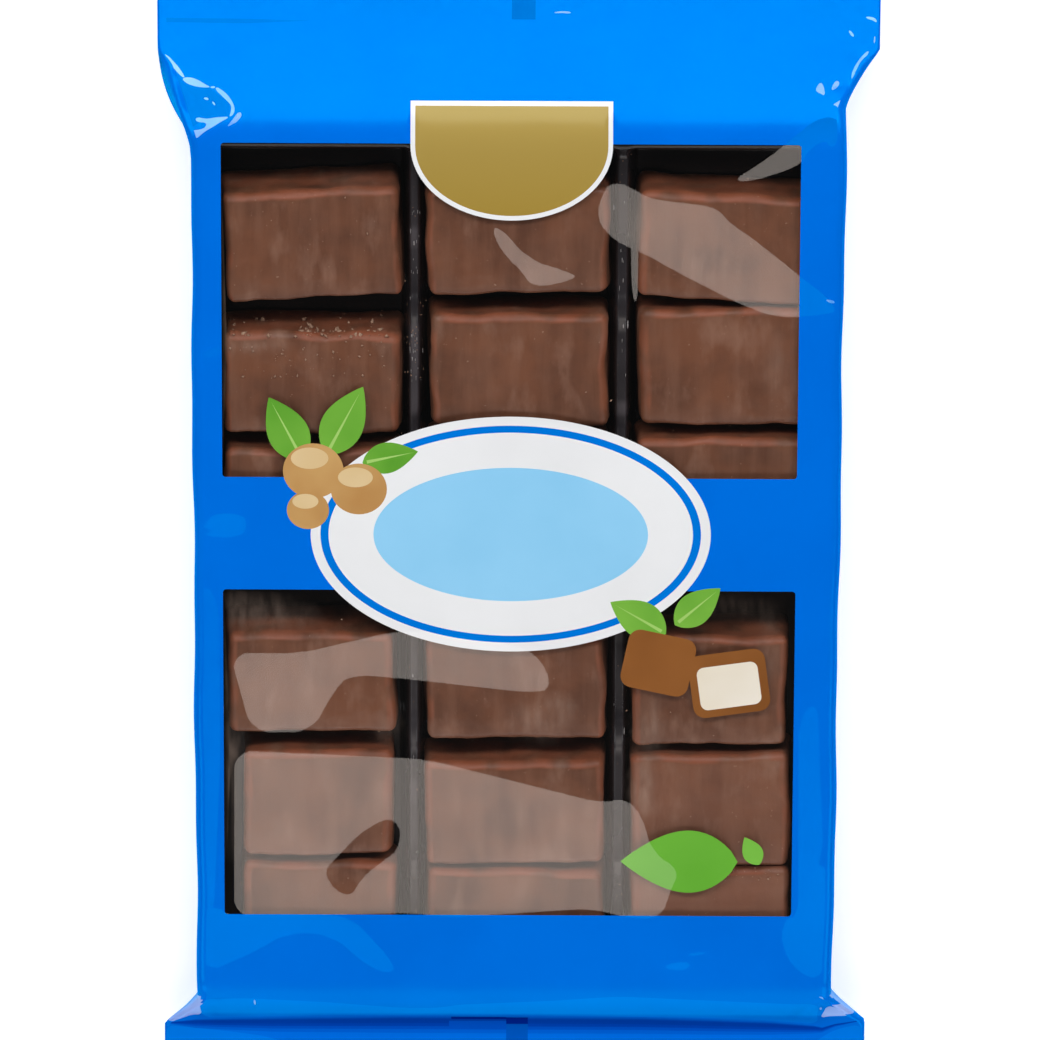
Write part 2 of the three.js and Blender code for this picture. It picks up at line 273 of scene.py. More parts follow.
# The ear folded under, with painted shade: darker ink on its facet
SHADED_EAR = [
    (-65.5, 88.9), (-63.7, 87.4), (-61.4, 84.6), (-56.4, 83.4), (-52.8, 81.1), (-52.8, 78.8), (-57.3, 78.0),
    (-60.4, 76.1), (-61.8, 78.2), (-63.8, 81.0), (-64.8, 85.3),
]
# The strip of film folded over at the head's fin, with painted shade: darker ink along it
SHADED_STRIP = [(-64.6, 94.9), (-64.6, 95.7), (-50.0, 95.6), (-38.0, 95.3), (-50.0, 94.8)]

# What is printed on the film, in plan
WINDOW_LEFT = -54.4
WINDOW_RIGHT = 51.7
WINDOW_RADIUS = 0.6
HEAD_WINDOW = (11.6, 73.9)
FOOT_WINDOW = (-72.0, -9.65)
TAB_CENTRE = -1.2
TAB_HALF_WIDTH = 18.5
TAB_TOP = 81.5
TAB_STRAIGHT = 73.5
TAB_TIP = 59.7
TAB_BORDER = 0.85
LABEL_CENTRE = (-1.1, 0.9)

# The pieces of nougat: middle of the top face, its length and width, turn in degrees, how far the top leans
# to the foot, and how pale the coat is
PIECE_HEIGHT = 14.3
PIECE_RADIUS = 1.5
PIECE_GAP = 0.05
PIECE_TOP = 15.0
PIECES = [
    (-37.8, 54.6, 32.1, 20.1, 2.6, 2.3, 0.0),
    (-37.9, 28.6, 32.3, 18.8, 0.0, 2.0, 0.0),
    (-38.0, 7.2, 31.9, 18.6, 0.0, 0.8, 0.0),
    (0.0, 55.6, 33.2, 19.6, 1.2, 0.7, 0.0),
    (0.3, 31.3, 32.3, 21.1, 0.6, 1.0, 0.0),
    (0.4, 8.6, 32.7, 20.0, 0.0, 0.5, 0.0),
    (37.6, 54.3, 30.8, 19.5, -2.5, 1.7, 0.0),
    (38.0, 32.2, 30.6, 21.6, 0.0, 0.3, 0.0),
    (38.0, 8.8, 31.4, 20.2, -0.5, 0.6, 0.0),
    (-38.2, -28.0, 30.6, 19.0, 0.4, 2.3, 0.0),
    (-37.0, -51.0, 27.6, 20.0, 0.0, 0.9, 0.0),
    (-36.8, -72.2, 28.3, 19.6, 0.0, 0.3, 0.0),
    (-0.2, -28.6, 33.2, 19.6, 0.0, 0.5, 0.0),
    (-0.1, -52.8, 33.0, 19.9, 0.4, 1.8, 0.0),
    (0.1, -73.3, 32.7, 18.8, 0.0, 0.5, 0.0),
    (36.2, -29.2, 28.4, 20.6, 0.0, 1.5, 0.0),
    (36.4, -52.1, 29.4, 21.6, 0.4, 0.3, 0.3),
    (36.4, -73.0, 29.6, 19.4, 0.0, 0.3, 0.55),
]


def linear(code):
    """An sRGB hex colour as the linear colour that Blender's shaders take."""
    parts = [int(code[i:i + 2], 16) / 255 for i in (1, 3, 5)]
    return [p / 12.92 if p <= 0.04045 else ((p + 0.055) / 1.055) ** 2.4 for p in parts]


def mix(a, b, t):
    return a + (b - a) * t


def clamp01(t):
    return np.clip(t, 0.0, 1.0)


# The front's mesh: step along a row, the next row's distance in steps, and the room left beside a line
MESH_STEP = 1.9
MESH_ROW = 0.87
MESH_ROOM = 0.42


# The film's shape


def soft_positive(v):
    """0 below, v above, and a round bend between them."""
    bend = (v + SLOPE_ROUNDING) ** 2 / (4 * SLOPE_ROUNDING)
    return np.where(np.abs(v) < SLOPE_ROUNDING, bend, np.maximum(v, 0.0))


def closing(x, y):
    """0 over the tray and 1 at the fins. The ears pull the fin line nearer."""
    tray = np.where(y > 0, TRAY_HEAD, TRAY_FOOT)
    reach = clamp01(np.abs(x) / (FIN_WIDTH / 2))
    run = FIN_LINE - tray - np.where(y > 0, EAR_PULL_HEAD, 0.0) * reach ** EAR_PULL_POWER
    past = np.abs(y) - tray
    return (soft_positive(past) - soft_positive(past - run)) / run


def sag(x, y):
    """The shallow dish of film over each trough."""
    across = np.cos(math.pi / 2 * clamp01(np.abs(x) / (FOOT_WIDTH / 2)))
    total = np.zeros_like(y)
    for foot, head in TROUGHS:
        along = np.sin(math.pi * clamp01((y - foot) / (head - foot)))
        total = total + FILM_SAG * along * across
    return total


def fold_depth(x, y, fold):
    """A three sided dent, deepest in the middle of its triangle."""
    depth, (ax, ay), (bx, by), (cx, cy) = fold
    area = (bx - ax) * (cy - ay) - (cx - ax) * (by - ay)
    near_b = ((x - ax) * (cy - ay) - (cx - ax) * (y - ay)) / area
    near_c = ((bx - ax) * (y - ay) - (x - ax) * (by - ay)) / area
    near_a = 1 - near_b - near_c
    least = np.minimum(near_a, np.minimum(near_b, near_c))
    return depth * 3 * np.maximum(0.0, least)


def crease_depth(x, y, crease):
    """A soft valley along a straight line, which fades at both ends."""
    depth, half, (ax, ay), (bx, by) = crease
    length = math.hypot(bx - ax, by - ay)
    along = ((x - ax) * (bx - ax) + (y - ay) * (by - ay)) / length
    aside = ((x - ax) * (by - ay) - (y - ay) * (bx - ax)) / length
    past = np.maximum(np.maximum(-along, along - length), 0.0)
    near = clamp01(1 - (aside ** 2 + past ** 2) / half ** 2)
    return depth * near ** 2


def front_height(x, y):
    """The height of the film's front over one place in plan."""
    top = FIN_LEVEL + FIN_THICKNESS / 2
    x = np.asarray(x, float)
    y = np.asarray(y, float)
    dents = sum(fold_depth(x, y, fold) for fold in CORNER_FOLDS)
    dents = dents + sum(crease_depth(x, y, crease) for crease in CREASES)
    height = mix(BODY_HEIGHT, top, closing(x, y)) - sag(x, y) - dents
    return np.maximum(height, top)


def back_height(x, y):
    return mix(0.0, FIN_LEVEL - FIN_THICKNESS / 2, closing(np.asarray(x, float), np.asarray(y, float)))


def front_normals(x, y, share):
    """The film's front normals. Share is how far a flat facet leans, and not a number outside facets."""
    step = 0.08
    rise_x = (front_height(x + step, y) - front_height(x - step, y)) / (2 * step)
    rise_y = (front_height(x, y + step) - front_height(x, y - step)) / (2 * step)
    on_slope = y > HEAD_SHINE[0][0]
    shown = HEAD_ALONG * rise_y - (1 - HEAD_ALONG) * np.interp(y, *HEAD_SHINE)
    rise_y = np.where(on_slope, shown, rise_y)
    rise_y = np.where(y > FIN_LINE - 4, -HEAD_SHINE[1][-1], rise_y)
    rise_y = np.where(y < FOOT_RUN, FOOT_LEAN * rise_y, rise_y)
    rise_y = np.where(y < FIN_SHINE, -FIN_BEND, rise_y)
    calm = np.where(on_slope, HEAD_ACROSS, np.where(y < FOOT_RUN, FOOT_LEAN, 1.0))
    lean = np.tan(np.radians(share * (FACET_LEAN + FACET_LEAN_RISE * y)))
    inside = ~np.isnan(share)
    tilt_x = np.where(inside, 0.0, -rise_x * calm)
    tilt_y = np.where(inside, -lean, -rise_y)
    normals = np.stack([tilt_x, tilt_y, np.ones_like(rise_x)], axis=1)
    return normals / np.linalg.norm(normals, axis=1)[:, None]


def edge_wave(side, y):
    """The tight film's side edge isn't quite straight."""
    return 0.16 * math.sin(y / 9.5 + side) + 0.09 * math.sin(y / 3.7 + 2 * side)


def wall(side, y):
    """Half widths of a side wall at its front edge, its outer fold and its back edge."""
    start, tip, bulge = EARS[side, 1 if y > 0 else -1]
    ear = float(clamp01((abs(y) - start) / (tip - start)))
    tray = mix(FOOT_WIDTH, HEAD_WIDTH, float(clamp01((y + TRAY_FOOT) / (TRAY_HEAD + TRAY_FOOT)))) / 2
    front = mix(tray + edge_wave(side, y), FIN_WIDTH / 2, ear ** EAR_FRONT_POWER)
    back = front - WALL_DRAFT * (1 - ear)
    straight = mix(tray - WALL_DRAFT / 2, FIN_WIDTH / 2, ear)
    if ear == 0:
        return front, straight, back
    return front, max(front, straight + bulge * math.sin(math.pi * ear)), back


def side_points(side, y):
    """From the front edge, over the outer fold, to the back edge."""
    steps = 5
    front, fold, back = wall(side, y)
    top = float(front_height(side * front, y))
    bottom = float(back_height(side * back, y))
    most = 0.45 * (top - bottom)
    radius = min(FRONT_EDGE_RADIUS, most)
    lower = min(BACK_EDGE_RADIUS, most)
    start = front - radius
    lift = float(front_height(side * start, y)) - top
    points = []
    for i in range(steps + 1):
        angle = math.pi / 2 * (1 - i / steps)
        rise = top - radius + radius * math.sin(angle) + lift * (1 - i / steps)
        points.append((side * (start + radius * math.cos(angle)), rise))
    points.append((side * fold, (top + bottom) / 2))
    for i in range(steps + 1):
        angle = -math.pi / 2 * i / steps
        inset = lower * (1 - math.cos(angle))
        points.append((side * (back - inset), bottom + lower + lower * math.sin(angle)))
    return points


def wrap_section(y):
    """The film from the front's right edge, round the back, to the front's left edge."""
    right = side_points(1, y)
    left = side_points(-1, y)
    plain = [part * right[-1][0] for part in (0.8, 0.6, 0.4, 0.2)]
    seam = []
    for side in (1, -1):
        for part in (0, 0.5, 1) if side > 0 else (1, 0.5, 0):
            x = side * (SEAM_WIDTH / 2 + GROOVE_WIDTH * (1 - part))
            seam.append((x, float(back_height(x, y)) + (GROOVE_DEPTH if part == 0.5 else 0.0)))
    back = [(x, float(back_height(x, y))) for x in plain]
    other = [(-x, z) for x, z in reversed(back)]
    return right + back + seam + other + left[::-1]


def stations():
    """Places along the pack, closer together where the film slopes to the fins."""
    spans = [(-FILM_END, FLAT_FOOT, 0.8), (FLAT_FOOT, FLAT_HEAD, 2.4), (FLAT_HEAD, FILM_END, 0.8)]
    places = []
    for start, end, step in spans:
        count = round((end - start) / step)
        places += [mix(start, end, i / count) for i in range(count)]
    return places + [FILM_END]


# Printed shapes in plan


def ellipse(centre, half_x, half_y, steps=120):
    angles = [2 * math.pi * i / steps for i in range(steps)]
    return [(centre[0] + half_x * math.cos(a), centre[1] + half_y * math.sin(a)) for a in angles]


def turned(points, centre, degrees):
    """The same points, turned round the origin and moved to a centre."""
    c = math.cos(math.radians(degrees))
    s = math.sin(math.radians(degrees))
    return [(centre[0] + c * x - s * y, centre[1] + s * x + c * y) for x, y in points]


def round_box(half_x, half_y, radius, steps=6):
    """A rectangle with rounded corners, round the origin."""
    points = []
    for quarter, (sx, sy) in enumerate([(1, 1), (-1, 1), (-1, -1), (1, -1)]):
        x = sx * (half_x - radius)
        y = sy * (half_y - radius)
        for i in range(steps + 1):
            a = math.pi / 2 * (quarter + i / steps)
            points.append((x + radius * math.cos(a), y + radius * math.sin(a)))
    return points


def window_outline(foot, head):
    centre = ((WINDOW_LEFT + WINDOW_RIGHT) / 2, (foot + head) / 2)
    return turned(round_box((WINDOW_RIGHT - WINDOW_LEFT) / 2, (head - foot) / 2, WINDOW_RADIUS, 3), centre, 0)


def tab_outline(inset):
    """The tab at the head: straight sides, and a half ellipse below."""
    half = TAB_HALF_WIDTH - inset
    drop = TAB_STRAIGHT - TAB_TIP - inset
    steps = 48
    points = [(TAB_CENTRE + half, TAB_TOP - inset), (TAB_CENTRE - half, TAB_TOP - inset)]
    for i in range(steps + 1):
        a = math.pi * (1 + i / steps)
        points.append((TAB_CENTRE + half * math.cos(a), TAB_STRAIGHT + drop * math.sin(a)))
    return points


def leaf(centre, length, width, degrees, steps=18):
    """A smooth leaf: round at its stalk and pointed at its tip, which lies along +X before it turns."""
    upper = []
    for i in range(steps + 1):
        t = i / steps
        half = width / 2 * math.sin(math.pi * t ** 0.8) ** 0.9 if 0 < t < 1 else 0.0
        upper.append((length * (t - 0.5), half))
    lower = [(x, -y) for x, y in upper[-2:0:-1]]
    return turned(upper + lower, centre, degrees)


def midrib(centre, length, width, degrees):
    """The thin pale line down a leaf."""
    half = length * 0.42
    return turned([(-half, -width), (half, 0.0), (-half, width)], centre, degrees)


SPRIG_LEAVES = [
    ((-42.6, 20.6), 13.5, 7.6, 118),
    ((-31.8, 22.2), 14.5, 7.8, 62),
    ((-23.4, 15.4), 10.5, 5.8, 12),
    ((22.6, -14.8), 12.0, 7.0, 150),
    ((33.6, -12.6), 11.0, 6.2, 40),
]
NUTS = [((-37.6, 12.8), 5.6), ((-29.2, 9.4), 5.2), ((-38.6, 5.4), 3.9)]
BLOCKS = [((26.4, -23.4), 6.4, 5.6, -12), ((39.6, -27.2), 7.2, 6.0, 8)]


def box(left, right, low, high):
    return [(left, low), (right, low), (right, high), (left, high)]


def eased(points, cut):
    """The same outline with each corner cut twice, so that it runs round."""
    for reach in (cut, cut / 3):
        smooth = []
        for i, (x, y) in enumerate(points):
            for px, py in (points[i - 1], points[(i + 1) % len(points)]):
                gap = math.hypot(px - x, py - y)
                t = min(reach, 0.3 * gap) / gap
                smooth.append((mix(x, px, t), mix(y, py, t)))
        points = smooth
    return points


def printed_shapes():
    """Name and outline of each printed shape, and of each painted shade and painted highlight on the film. A
    later one is printed over those before it.
    """
    shapes = [
        ("film_window_head", window_outline(*HEAD_WINDOW)),
        ("film_window_foot", window_outline(*FOOT_WINDOW)),
        ("tab_border", tab_outline(0.0)),
        ("tab_gold", tab_outline(TAB_BORDER)),
        ("label_plate", ellipse(LABEL_CENTRE, 37.0, 22.2, 160)),
        ("label_ring", ellipse(LABEL_CENTRE, 35.2, 20.5, 160)),
        ("label_plate", ellipse(LABEL_CENTRE, 33.7, 19.2, 160)),
        ("label_panel", ellipse(LABEL_CENTRE, 25.4, 12.6, 120)),
    ]
    for centre, length, width, degrees in SPRIG_LEAVES:
        shapes.append(("sprig_leaves", leaf(centre, length, width, degrees)))
        shapes.append(("leaf_ribs", midrib(centre, length, 0.32, degrees)))
    for (x, y), radius in NUTS:
        crown = (x - radius * 0.12, y + radius * 0.42)
        shapes.append(("nut_shells", ellipse((x, y), radius, radius * 0.92, 40)))
        shapes.append(("nut_crowns", ellipse(crown, radius * 0.62, radius * 0.36, 28)))
    for centre, half_x, half_y, degrees in BLOCKS:
        shapes.append(("block_coats", turned(round_box(half_x, half_y, 2.2), centre, degrees)))
    (x, y), half_x, half_y, degrees = BLOCKS[1]
    filling = round_box(half_x - 1.5, half_y - 1.9, 1.4)
    shapes += [
        ("block_filling", turned(filling, (x, y - 0.5), degrees)),
        ("badge", leaf((30.6, -61.5), 21.9, 12.0, 180)),
        ("badge_leaf", leaf((44.2, -59.4), 6.0, 3.8, 118)),
        # Painted shade: darker ink on the ear's folded facet and on a strip at the head's fin
        ("fold_shade_film", SHADED_EAR),
        ("fold_shade_film", SHADED_STRIP),
    ]
    # Painted light: a lighter blue where the tight film at the foot catches more light
    shapes += [("bright_film", eased(points, 1.5)) for points in BRIGHT_FILM]
    # Painted shadow along the fold at the foot, in bands that darken to the middle
    for name, first, last in FOLD_SHADOW_BANDS:
        upper = [(x, y - first * wide) for x, y, wide in FOLD_SHADOW_EDGE]
        lower = [(x, y - last * wide) for x, y, wide in FOLD_SHADOW_EDGE]
        shapes.append((name, upper + lower[::-1]))
    shapes += [
        ("seam_strip", box(-1.3, 3.05, FIN_LINE + 0.6, FILM_END)),
        ("seam_strip", box(-1.6, 2.5, -FILM_END, -93.8)),
        # Painted shadow in the fold beside the foot's seam
        ("fold_shade", box(-12.4, -1.6, -96.0, -94.7)),
        ("fold_shadow_deep", box(-12.0, -1.6, -94.3, -93.7)),
        ("fold_shadow_deep", box(-1.6, 2.5, -95.4, -93.8)),
    ]
    # Painted highlights at the creases: pale blue ink at the head, pale lilac ink at the foot
    for points in CREASE_HIGHLIGHTS:
        shapes.append(("glint_film" if points[0][1] > 0 else "crease_highlight_film", eased(points, 0.5)))
    # Painted highlights in a lighter blue
    shapes += [("blue_highlight_film", eased(points, 0.5)) for points in BLUE_HIGHLIGHTS]
    return shapes


def distance_to_lines(points, polygons):
    """How far each point in plan lies from the nearest printed edge."""
    best = np.full(len(points), 1e9)
    for polygon in polygons:
        a = np.array(polygon)
        b = np.roll(a, -1, axis=0)
        for start, end in zip(a, b):
            line = end - start
            t = clamp01(((points - start) @ line) / max(line @ line, 1e-12))
            gap = np.linalg.norm(points - start - t[:, None] * line, axis=1)
            best = np.minimum(best, gap)
    return best


def counter_clockwise(points):
    """The same outline, turned so that its inside is on the left."""
    pairs = zip(points, points[1:] + points[:1])
    area = sum(ax * by - bx * ay for (ax, ay), (bx, by) in pairs)
    return points if area > 0 else points[::-1]


def front_edge(side):
    """Where the front ends on one side, at the wrap's stations."""
    return [side_points(side, y)[0][0] for y in stations()]


def inner_places(right, left):
    """Rows of places between the front's two edges, each row shifted by half a step against the last one."""
    rows = []
    y = -FILM_END + 0.5
    shift = 0.0
    while y < FILM_END - 0.4:
        step = MESH_STEP if FLAT_FOOT <= y <= FLAT_HEAD else MESH_STEP / 2
        edge = float(np.interp(y, stations(), right))
        other = float(np.interp(y, stations(), left))
        count = int((edge - other) / step)
        rows += [(other + (i + shift) * (edge - other) / count, y) for i in range(1, count)]
        y += step * MESH_ROW
        shift = 0.5 - shift
    return np.array(rows)


def front_panel():
    """The front as triangles, each with the name of what is printed there and its facet's share of lean."""
    right = front_edge(1)
    left = front_edge(-1)
    outline = list(zip(right, stations())) + list(zip(left, stations()))[::-1]
    shapes = printed_shapes()
    facets = [eased(points, FACET_ROUNDING) for _, points in FACETS]
    polygons = [outline] + [points for _, points in shapes] + facets
    polygons = [counter_clockwise(points) for points in polygons]
    inner = inner_places(right, left)
    inner = inner[distance_to_lines(inner, polygons) > MESH_ROOM]
    points = []
    faces = []
    for polygon in polygons:
        faces.append(list(range(len(points), len(points) + len(polygon))))
        points += polygon
    points += [tuple(p) for p in inner]
    result = delaunay_2d_cdt([Vector(p) for p in points], [], faces, 1, 1e-4, True)
    verts = np.array([(v.x, v.y) for v in result[0]])
    triangles = []
    names = []
    shares = []
    for triangle, origins in zip(result[2], result[5]):
        if 0 not in origins:
            continue
        triangles.append(triangle)
        printed = max((i for i in origins if 0 < i <= len(shapes)), default=0)
        facet = max((i for i in origins if i > len(shapes)), default=0)
        names.append(shapes[printed - 1][0] if printed else "film_printed")
        shares.append(FACETS[facet - len(shapes) - 1][0] if facet else math.nan)
    return verts, triangles, names, shares


# Mesh and node helpers


def new_object(name, verts, faces, material, normals=None):
    """A smooth mesh object from points in millimetres, which rides on the pack's one body."""
    mesh = bpy.data.meshes.new(name)
    mesh.from_pydata([Vector(v) * MM for v in verts], [], faces)
    mesh.validate()
    mesh.polygons.foreach_set("use_smooth", [True] * len(mesh.polygons))
    mesh.materials.append(material)
    if normals is not None:
        mesh.normals_split_custom_set(normals)
    mesh.update()
    obj = bpy.data.objects.new(name, mesh)
    bpy.context.scene.collection.objects.link(obj)
    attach(obj, "root")
    return obj


def add_node(tree, kind, settings=None, links=None):
    """Adds a node. Settings are input sockets, by name or number, or the node's own options."""
    node = tree.nodes.new(kind)
    for key, value in (settings or {}).items():
        if isinstance(key, str) and hasattr(node, key):
            setattr(node, key, value)
        else:
            node.inputs[key].default_value = value
    for key, source in (links or {}).items():
        tree.links.new(source, node.inputs[key])
    return node


def store(obj, name, values):
    """Stores one value at each of the mesh's points, for its material to read."""
    obj.data.attributes.new(name, "FLOAT", "POINT").data.foreach_set("value", values)


def stored(tree, name):
    """A value that the mesh has at its points."""
    return add_node(tree, "ShaderNodeAttribute", {"attribute_name": name}).outputs["Fac"]


def new_material(name):
    """An empty node material and its tree."""
    material = bpy.data.materials.new(name)
    material.use_nodes = True
    material.node_tree.nodes.clear()
    return material, material.node_tree


def finished(material, shader):
    """The material, with its last shader joined to its output."""
    add_node(material.node_tree, "ShaderNodeOutputMaterial", None, {0: shader})
    return material


def principled(tree, settings, links):
    return add_node(tree, "ShaderNodeBsdfPrincipled", settings, links).outputs[0]


def layered(tree, share, under, over):
    """Two shaders, the upper one with this share."""
    return add_node(tree, "ShaderNodeMixShader", None, {0: share, 1: under, 2: over}).outputs[0]


def calculated(tree, operation, source, *others):
    """A sum of a socket with others, each a number or a socket."""
    settings = {"operation": operation}
    links = {0: source}
    for k, value in enumerate(others, 1):
        (settings if isinstance(value, float) else links)[k] = value
    return add_node(tree, "ShaderNodeMath", settings, links).outputs[0]


def colour(code):
    return (*linear(code), 1.0)


def place_in_mm(tree, stretch=(1.0, 1.0, 1.0)):
    """The mesh's own coordinates in millimetres, stretched for streaks."""
    where = add_node(tree, "ShaderNodeTexCoord").outputs["Object"]
    scale = tuple(s / MM for s in stretch)
    return add_node(tree, "ShaderNodeMapping", {"Scale": scale}, {"Vector": where}).outputs[0]


def noise_of(tree, size, detail=2.0, stretch=(1.0, 1.0, 1.0)):
    """A noise whose blotches are about this many millimetres wide."""
    settings = {"Scale": 1 / size, "Detail": detail}
    return add_node(tree, "ShaderNodeTexNoise", settings, {"Vector": place_in_mm(tree, stretch)}).outputs[0]


def ranged(tree, source, low, high, to_low, to_high):
    settings = {"From Min": low, "From Max": high, "To Min": to_low, "To Max": to_high}
    return add_node(tree, "ShaderNodeMapRange", settings, {"Value": source}).outputs[0]


def blended(tree, factor, first, second):
    """Two colours, each a hex code or a socket, mixed by a socket."""
    node = add_node(tree, "ShaderNodeMix", {"data_type": "RGBA"}, {0: factor})
    for slot, value in ((6, first), (7, second)):
        if isinstance(value, str):
            node.inputs[slot].default_value = colour(value)
        else:
            tree.links.new(value, node.inputs[slot])
    return node.outputs[2]


def bumped(tree, height, depth_mm):
    return add_node(tree, "ShaderNodeBump", {"Distance": depth_mm * MM}, {"Height": height}).outputs[0]


# Materials


def mirrored(tree, skin, straight, slant):
    """How much film mirrors: a little where it is seen straight on, and more at a slant."""
    facing = add_node(tree, "ShaderNodeLayerWeight", {"Blend": 0.5}, {"Normal": skin}).outputs["Facing"]
    return calculated(tree, "MULTIPLY_ADD", calculated(tree, "POWER", facing, 5.0), slant, straight)


def printed_film(name, deep, light, roughness=0.14, gloss="#ffffff", fade=None):
    """Gravure printed, laminated polypropylene film: even ink under a smooth glossy skin.
    The ink is very slightly cloudy, or fades along the pack, and the skin has a faint ripple."""
    material, tree = new_material(name)
    if fade:
        place = add_node(tree, "ShaderNodeSeparateXYZ", None, {0: place_in_mm(tree)})
        cloud = ranged(tree, place.outputs["Y"], *fade, 0.0, 1.0)
    else:
        cloud = ranged(tree, noise_of(tree, 22.0, 3.0), 0.35, 0.65, 0.0, 1.0)
    skin = bumped(tree, noise_of(tree, 9.0, 1.0), 0.05)
    grain = ranged(tree, noise_of(tree, 1.2, 2.0), 0.3, 0.7, roughness - 0.03, roughness + 0.03)
    surface = {"Roughness": grain, "Normal": skin}
    dye = {"Base Color": blended(tree, cloud, deep, light), **surface}
    ink = principled(tree, {"IOR": 1.5, "Specular IOR Level": 0.0}, dye)
    laminate = add_node(tree, "ShaderNodeBsdfGlossy", {"Color": colour(gloss)}, surface).outputs[0]
    return finished(material, layered(tree, mirrored(tree, skin, 0.04, 0.6), ink, laminate))


def clear_film(name):
    """Clear, cast polypropylene film: next to nothing is seen of it but its mirror gloss.
    Both of its faces mirror, so it sends back nearly twice what one face would.
    Where chocolate has rubbed off on it, it is hazy, in streaks along the pack."""
    material, tree = new_material(name)
    ripple = bumped(tree, noise_of(tree, 14.0, 1.0), 0.012)
    clear = add_node(tree, "ShaderNodeBsdfTransparent", {"Color": colour("#fbfbfc")}).outputs[0]
    grease = add_node(tree, "ShaderNodeBsdfDiffuse", {"Color": colour("#cdb2a2")}).outputs[0]
    streaks = ranged(tree, noise_of(tree, 1.8, 4.0, (1.0, 0.3, 1.0)), 0.36, 0.64, 0.4, 1.3)
    body = layered(tree, calculated(tree, "MULTIPLY", stored(tree, "smear"), streaks), clear, grease)
    gloss = add_node(tree, "ShaderNodeBsdfGlossy", {"Roughness": 0.12}, {"Normal": ripple}).outputs[0]
    return finished(material, layered(tree, mirrored(tree, ripple, 0.078, 0.9), body, gloss))


def tray_plastic(name, code):
    """Thermoformed black polystyrene sheet: deep black and glossy.
    Its crests carry a painted sheen: patchy grey standing for their reflection."""
    material, tree = new_material(name)
    sheen_noise = ranged(tree, noise_of(tree, 6.0, 1.0, (1.0, 0.6, 1.0)), 0.36, 0.64, 0.3, 0.8)
    # The crests' grey is painted sheen
    painted_sheen = calculated(tree, "MULTIPLY", stored(tree, "painted_crest_sheen"), sheen_noise)
    links = {
        "Base Color": blended(tree, painted_sheen, code, "#4f494d"),
        "Roughness": ranged(tree, painted_sheen, 0.0, 1.0, 0.24, 0.5),
        "Normal": bumped(tree, noise_of(tree, 2.2, 2.0), 0.02),
    }
    return finished(material, principled(tree, {"IOR": 1.55}, links))


def chocolate(name, base, dark, edge):
    """Milk chocolate, enrobed and combed by the belt: fine streaks along the pack, dull satin skin.
    It is paler where it is rubbed and lightly mottled with bloom, and its edges carry a painted highlight, a
    lighter and redder brown."""
    material, tree = new_material(name)
    mottle = ranged(tree, noise_of(tree, 10.0, 4.0), 0.36, 0.64, 0.0, 1.0)
    streak = ranged(tree, noise_of(tree, 2.6, 3.0, (1.0, 0.13, 0.5)), 0.4, 0.72, 0.0, 0.32)
    smear = ranged(tree, noise_of(tree, 5.0, 5.0, (1.0, 0.45, 0.6)), 0.56, 0.74, 0.0, 0.44)
    speck = ranged(tree, noise_of(tree, 0.6, 1.0), 0.76, 0.82, 0.0, 0.5)
    skin = blended(tree, mottle, dark, base)
    layers = [
        (stored(tree, "pale"), "#936450"), (streak, "#926852"), (smear, "#a07a66"),
        # The edge layer is a painted highlight
        (stored(tree, "edge"), edge), (speck, "#b8967f"),
    ]
    for share, code in layers:
        skin = blended(tree, share, skin, code)
    height = calculated(tree, "ADD", calculated(tree, "MULTIPLY", noise_of(tree, 3.2, 5.0), 0.7), streak)
    links = {
        "Base Color": skin,
        "Roughness": ranged(tree, mottle, 0.0, 1.0, 0.48, 0.36),
        "Normal": bumped(tree, height, 0.28),
    }
    return finished(material, principled(tree, {"IOR": 1.4}, links))


def glint_plastic(name):
    """Pale grey plastic for the painted glints and pale scratches on the ribs; the glints stand for
    highlights.
    """
    material, tree = new_material(name)
    links = {"Base Color": blended(tree, noise_of(tree, 0.8), "#8f8b8b", "#c8c4c2")}
    return finished(material, principled(tree, {"Roughness": 0.4, "IOR": 1.55}, links))


def crumb_chocolate(name):
    """Broken chocolate: matt and paler than the skin, as its fat has bloomed."""
    material, tree = new_material(name)
    links = {"Base Color": blended(tree, noise_of(tree, 1.5), "#86604a", "#cba88d")}
    return finished(material, principled(tree, {"Roughness": 0.75}, links))


def studio_paper(name, code, glow):
    """Matt white studio paper, lit from behind as a light table is, so that it stays white."""
    material, tree = new_material(name)
    settings = {"Roughness": 0.9, "Emission Color": colour("#ffffff"), "Emission Strength": glow}
    links = {"Base Color": blended(tree, noise_of(tree, 3.0), code, "#f4f4f4")}
    return finished(material, principled(tree, settings, links))


# Settings


def swatch(title, text, code):
    return bpy.props.FloatVectorProperty(
        name=title, description=text, subtype="COLOR", size=3, min=0.0, max=1.0, default=linear(code)
    )


class FilmSettings(bpy.types.PropertyGroup):
    blue: swatch("Blue", "The film's printed blue", "#006bde")
    blue_light: swatch("Light blue", "Where the blue ink lies thinner", "#006fe3")
    white: swatch("White", "The white of the label and the tab's border", "#eef0f3")
    gold: swatch("Gold", "The tab's gold", "#a08538")
    sky: swatch("Sky", "The pale blue panel of the label", "#93d2f8")


class NougatSettings(bpy.types.PropertyGroup):
    coat: swatch("Coat", "The chocolate coat", "#7b4e37")
    shade: swatch("Shade", "The darker blotches of the coat", "#623c29")
    # The colour of the painted highlight along the edges, strongest toward the head
    rim: swatch("Rim", "The coat along the edges", "#9a583d")
    height: bpy.props.FloatProperty(
        name="Height", description="How high each piece is", default=PIECE_HEIGHT * MM, unit="LENGTH"
    )


class TraySettings(bpy.types.PropertyGroup):
    black: swatch("Black", "The tray's plastic", "#151316")
    deck: bpy.props.FloatProperty(
        name="Deck", description="Height of the tray's rim", default=DECK_HEIGHT * MM, unit="LENGTH"
    )


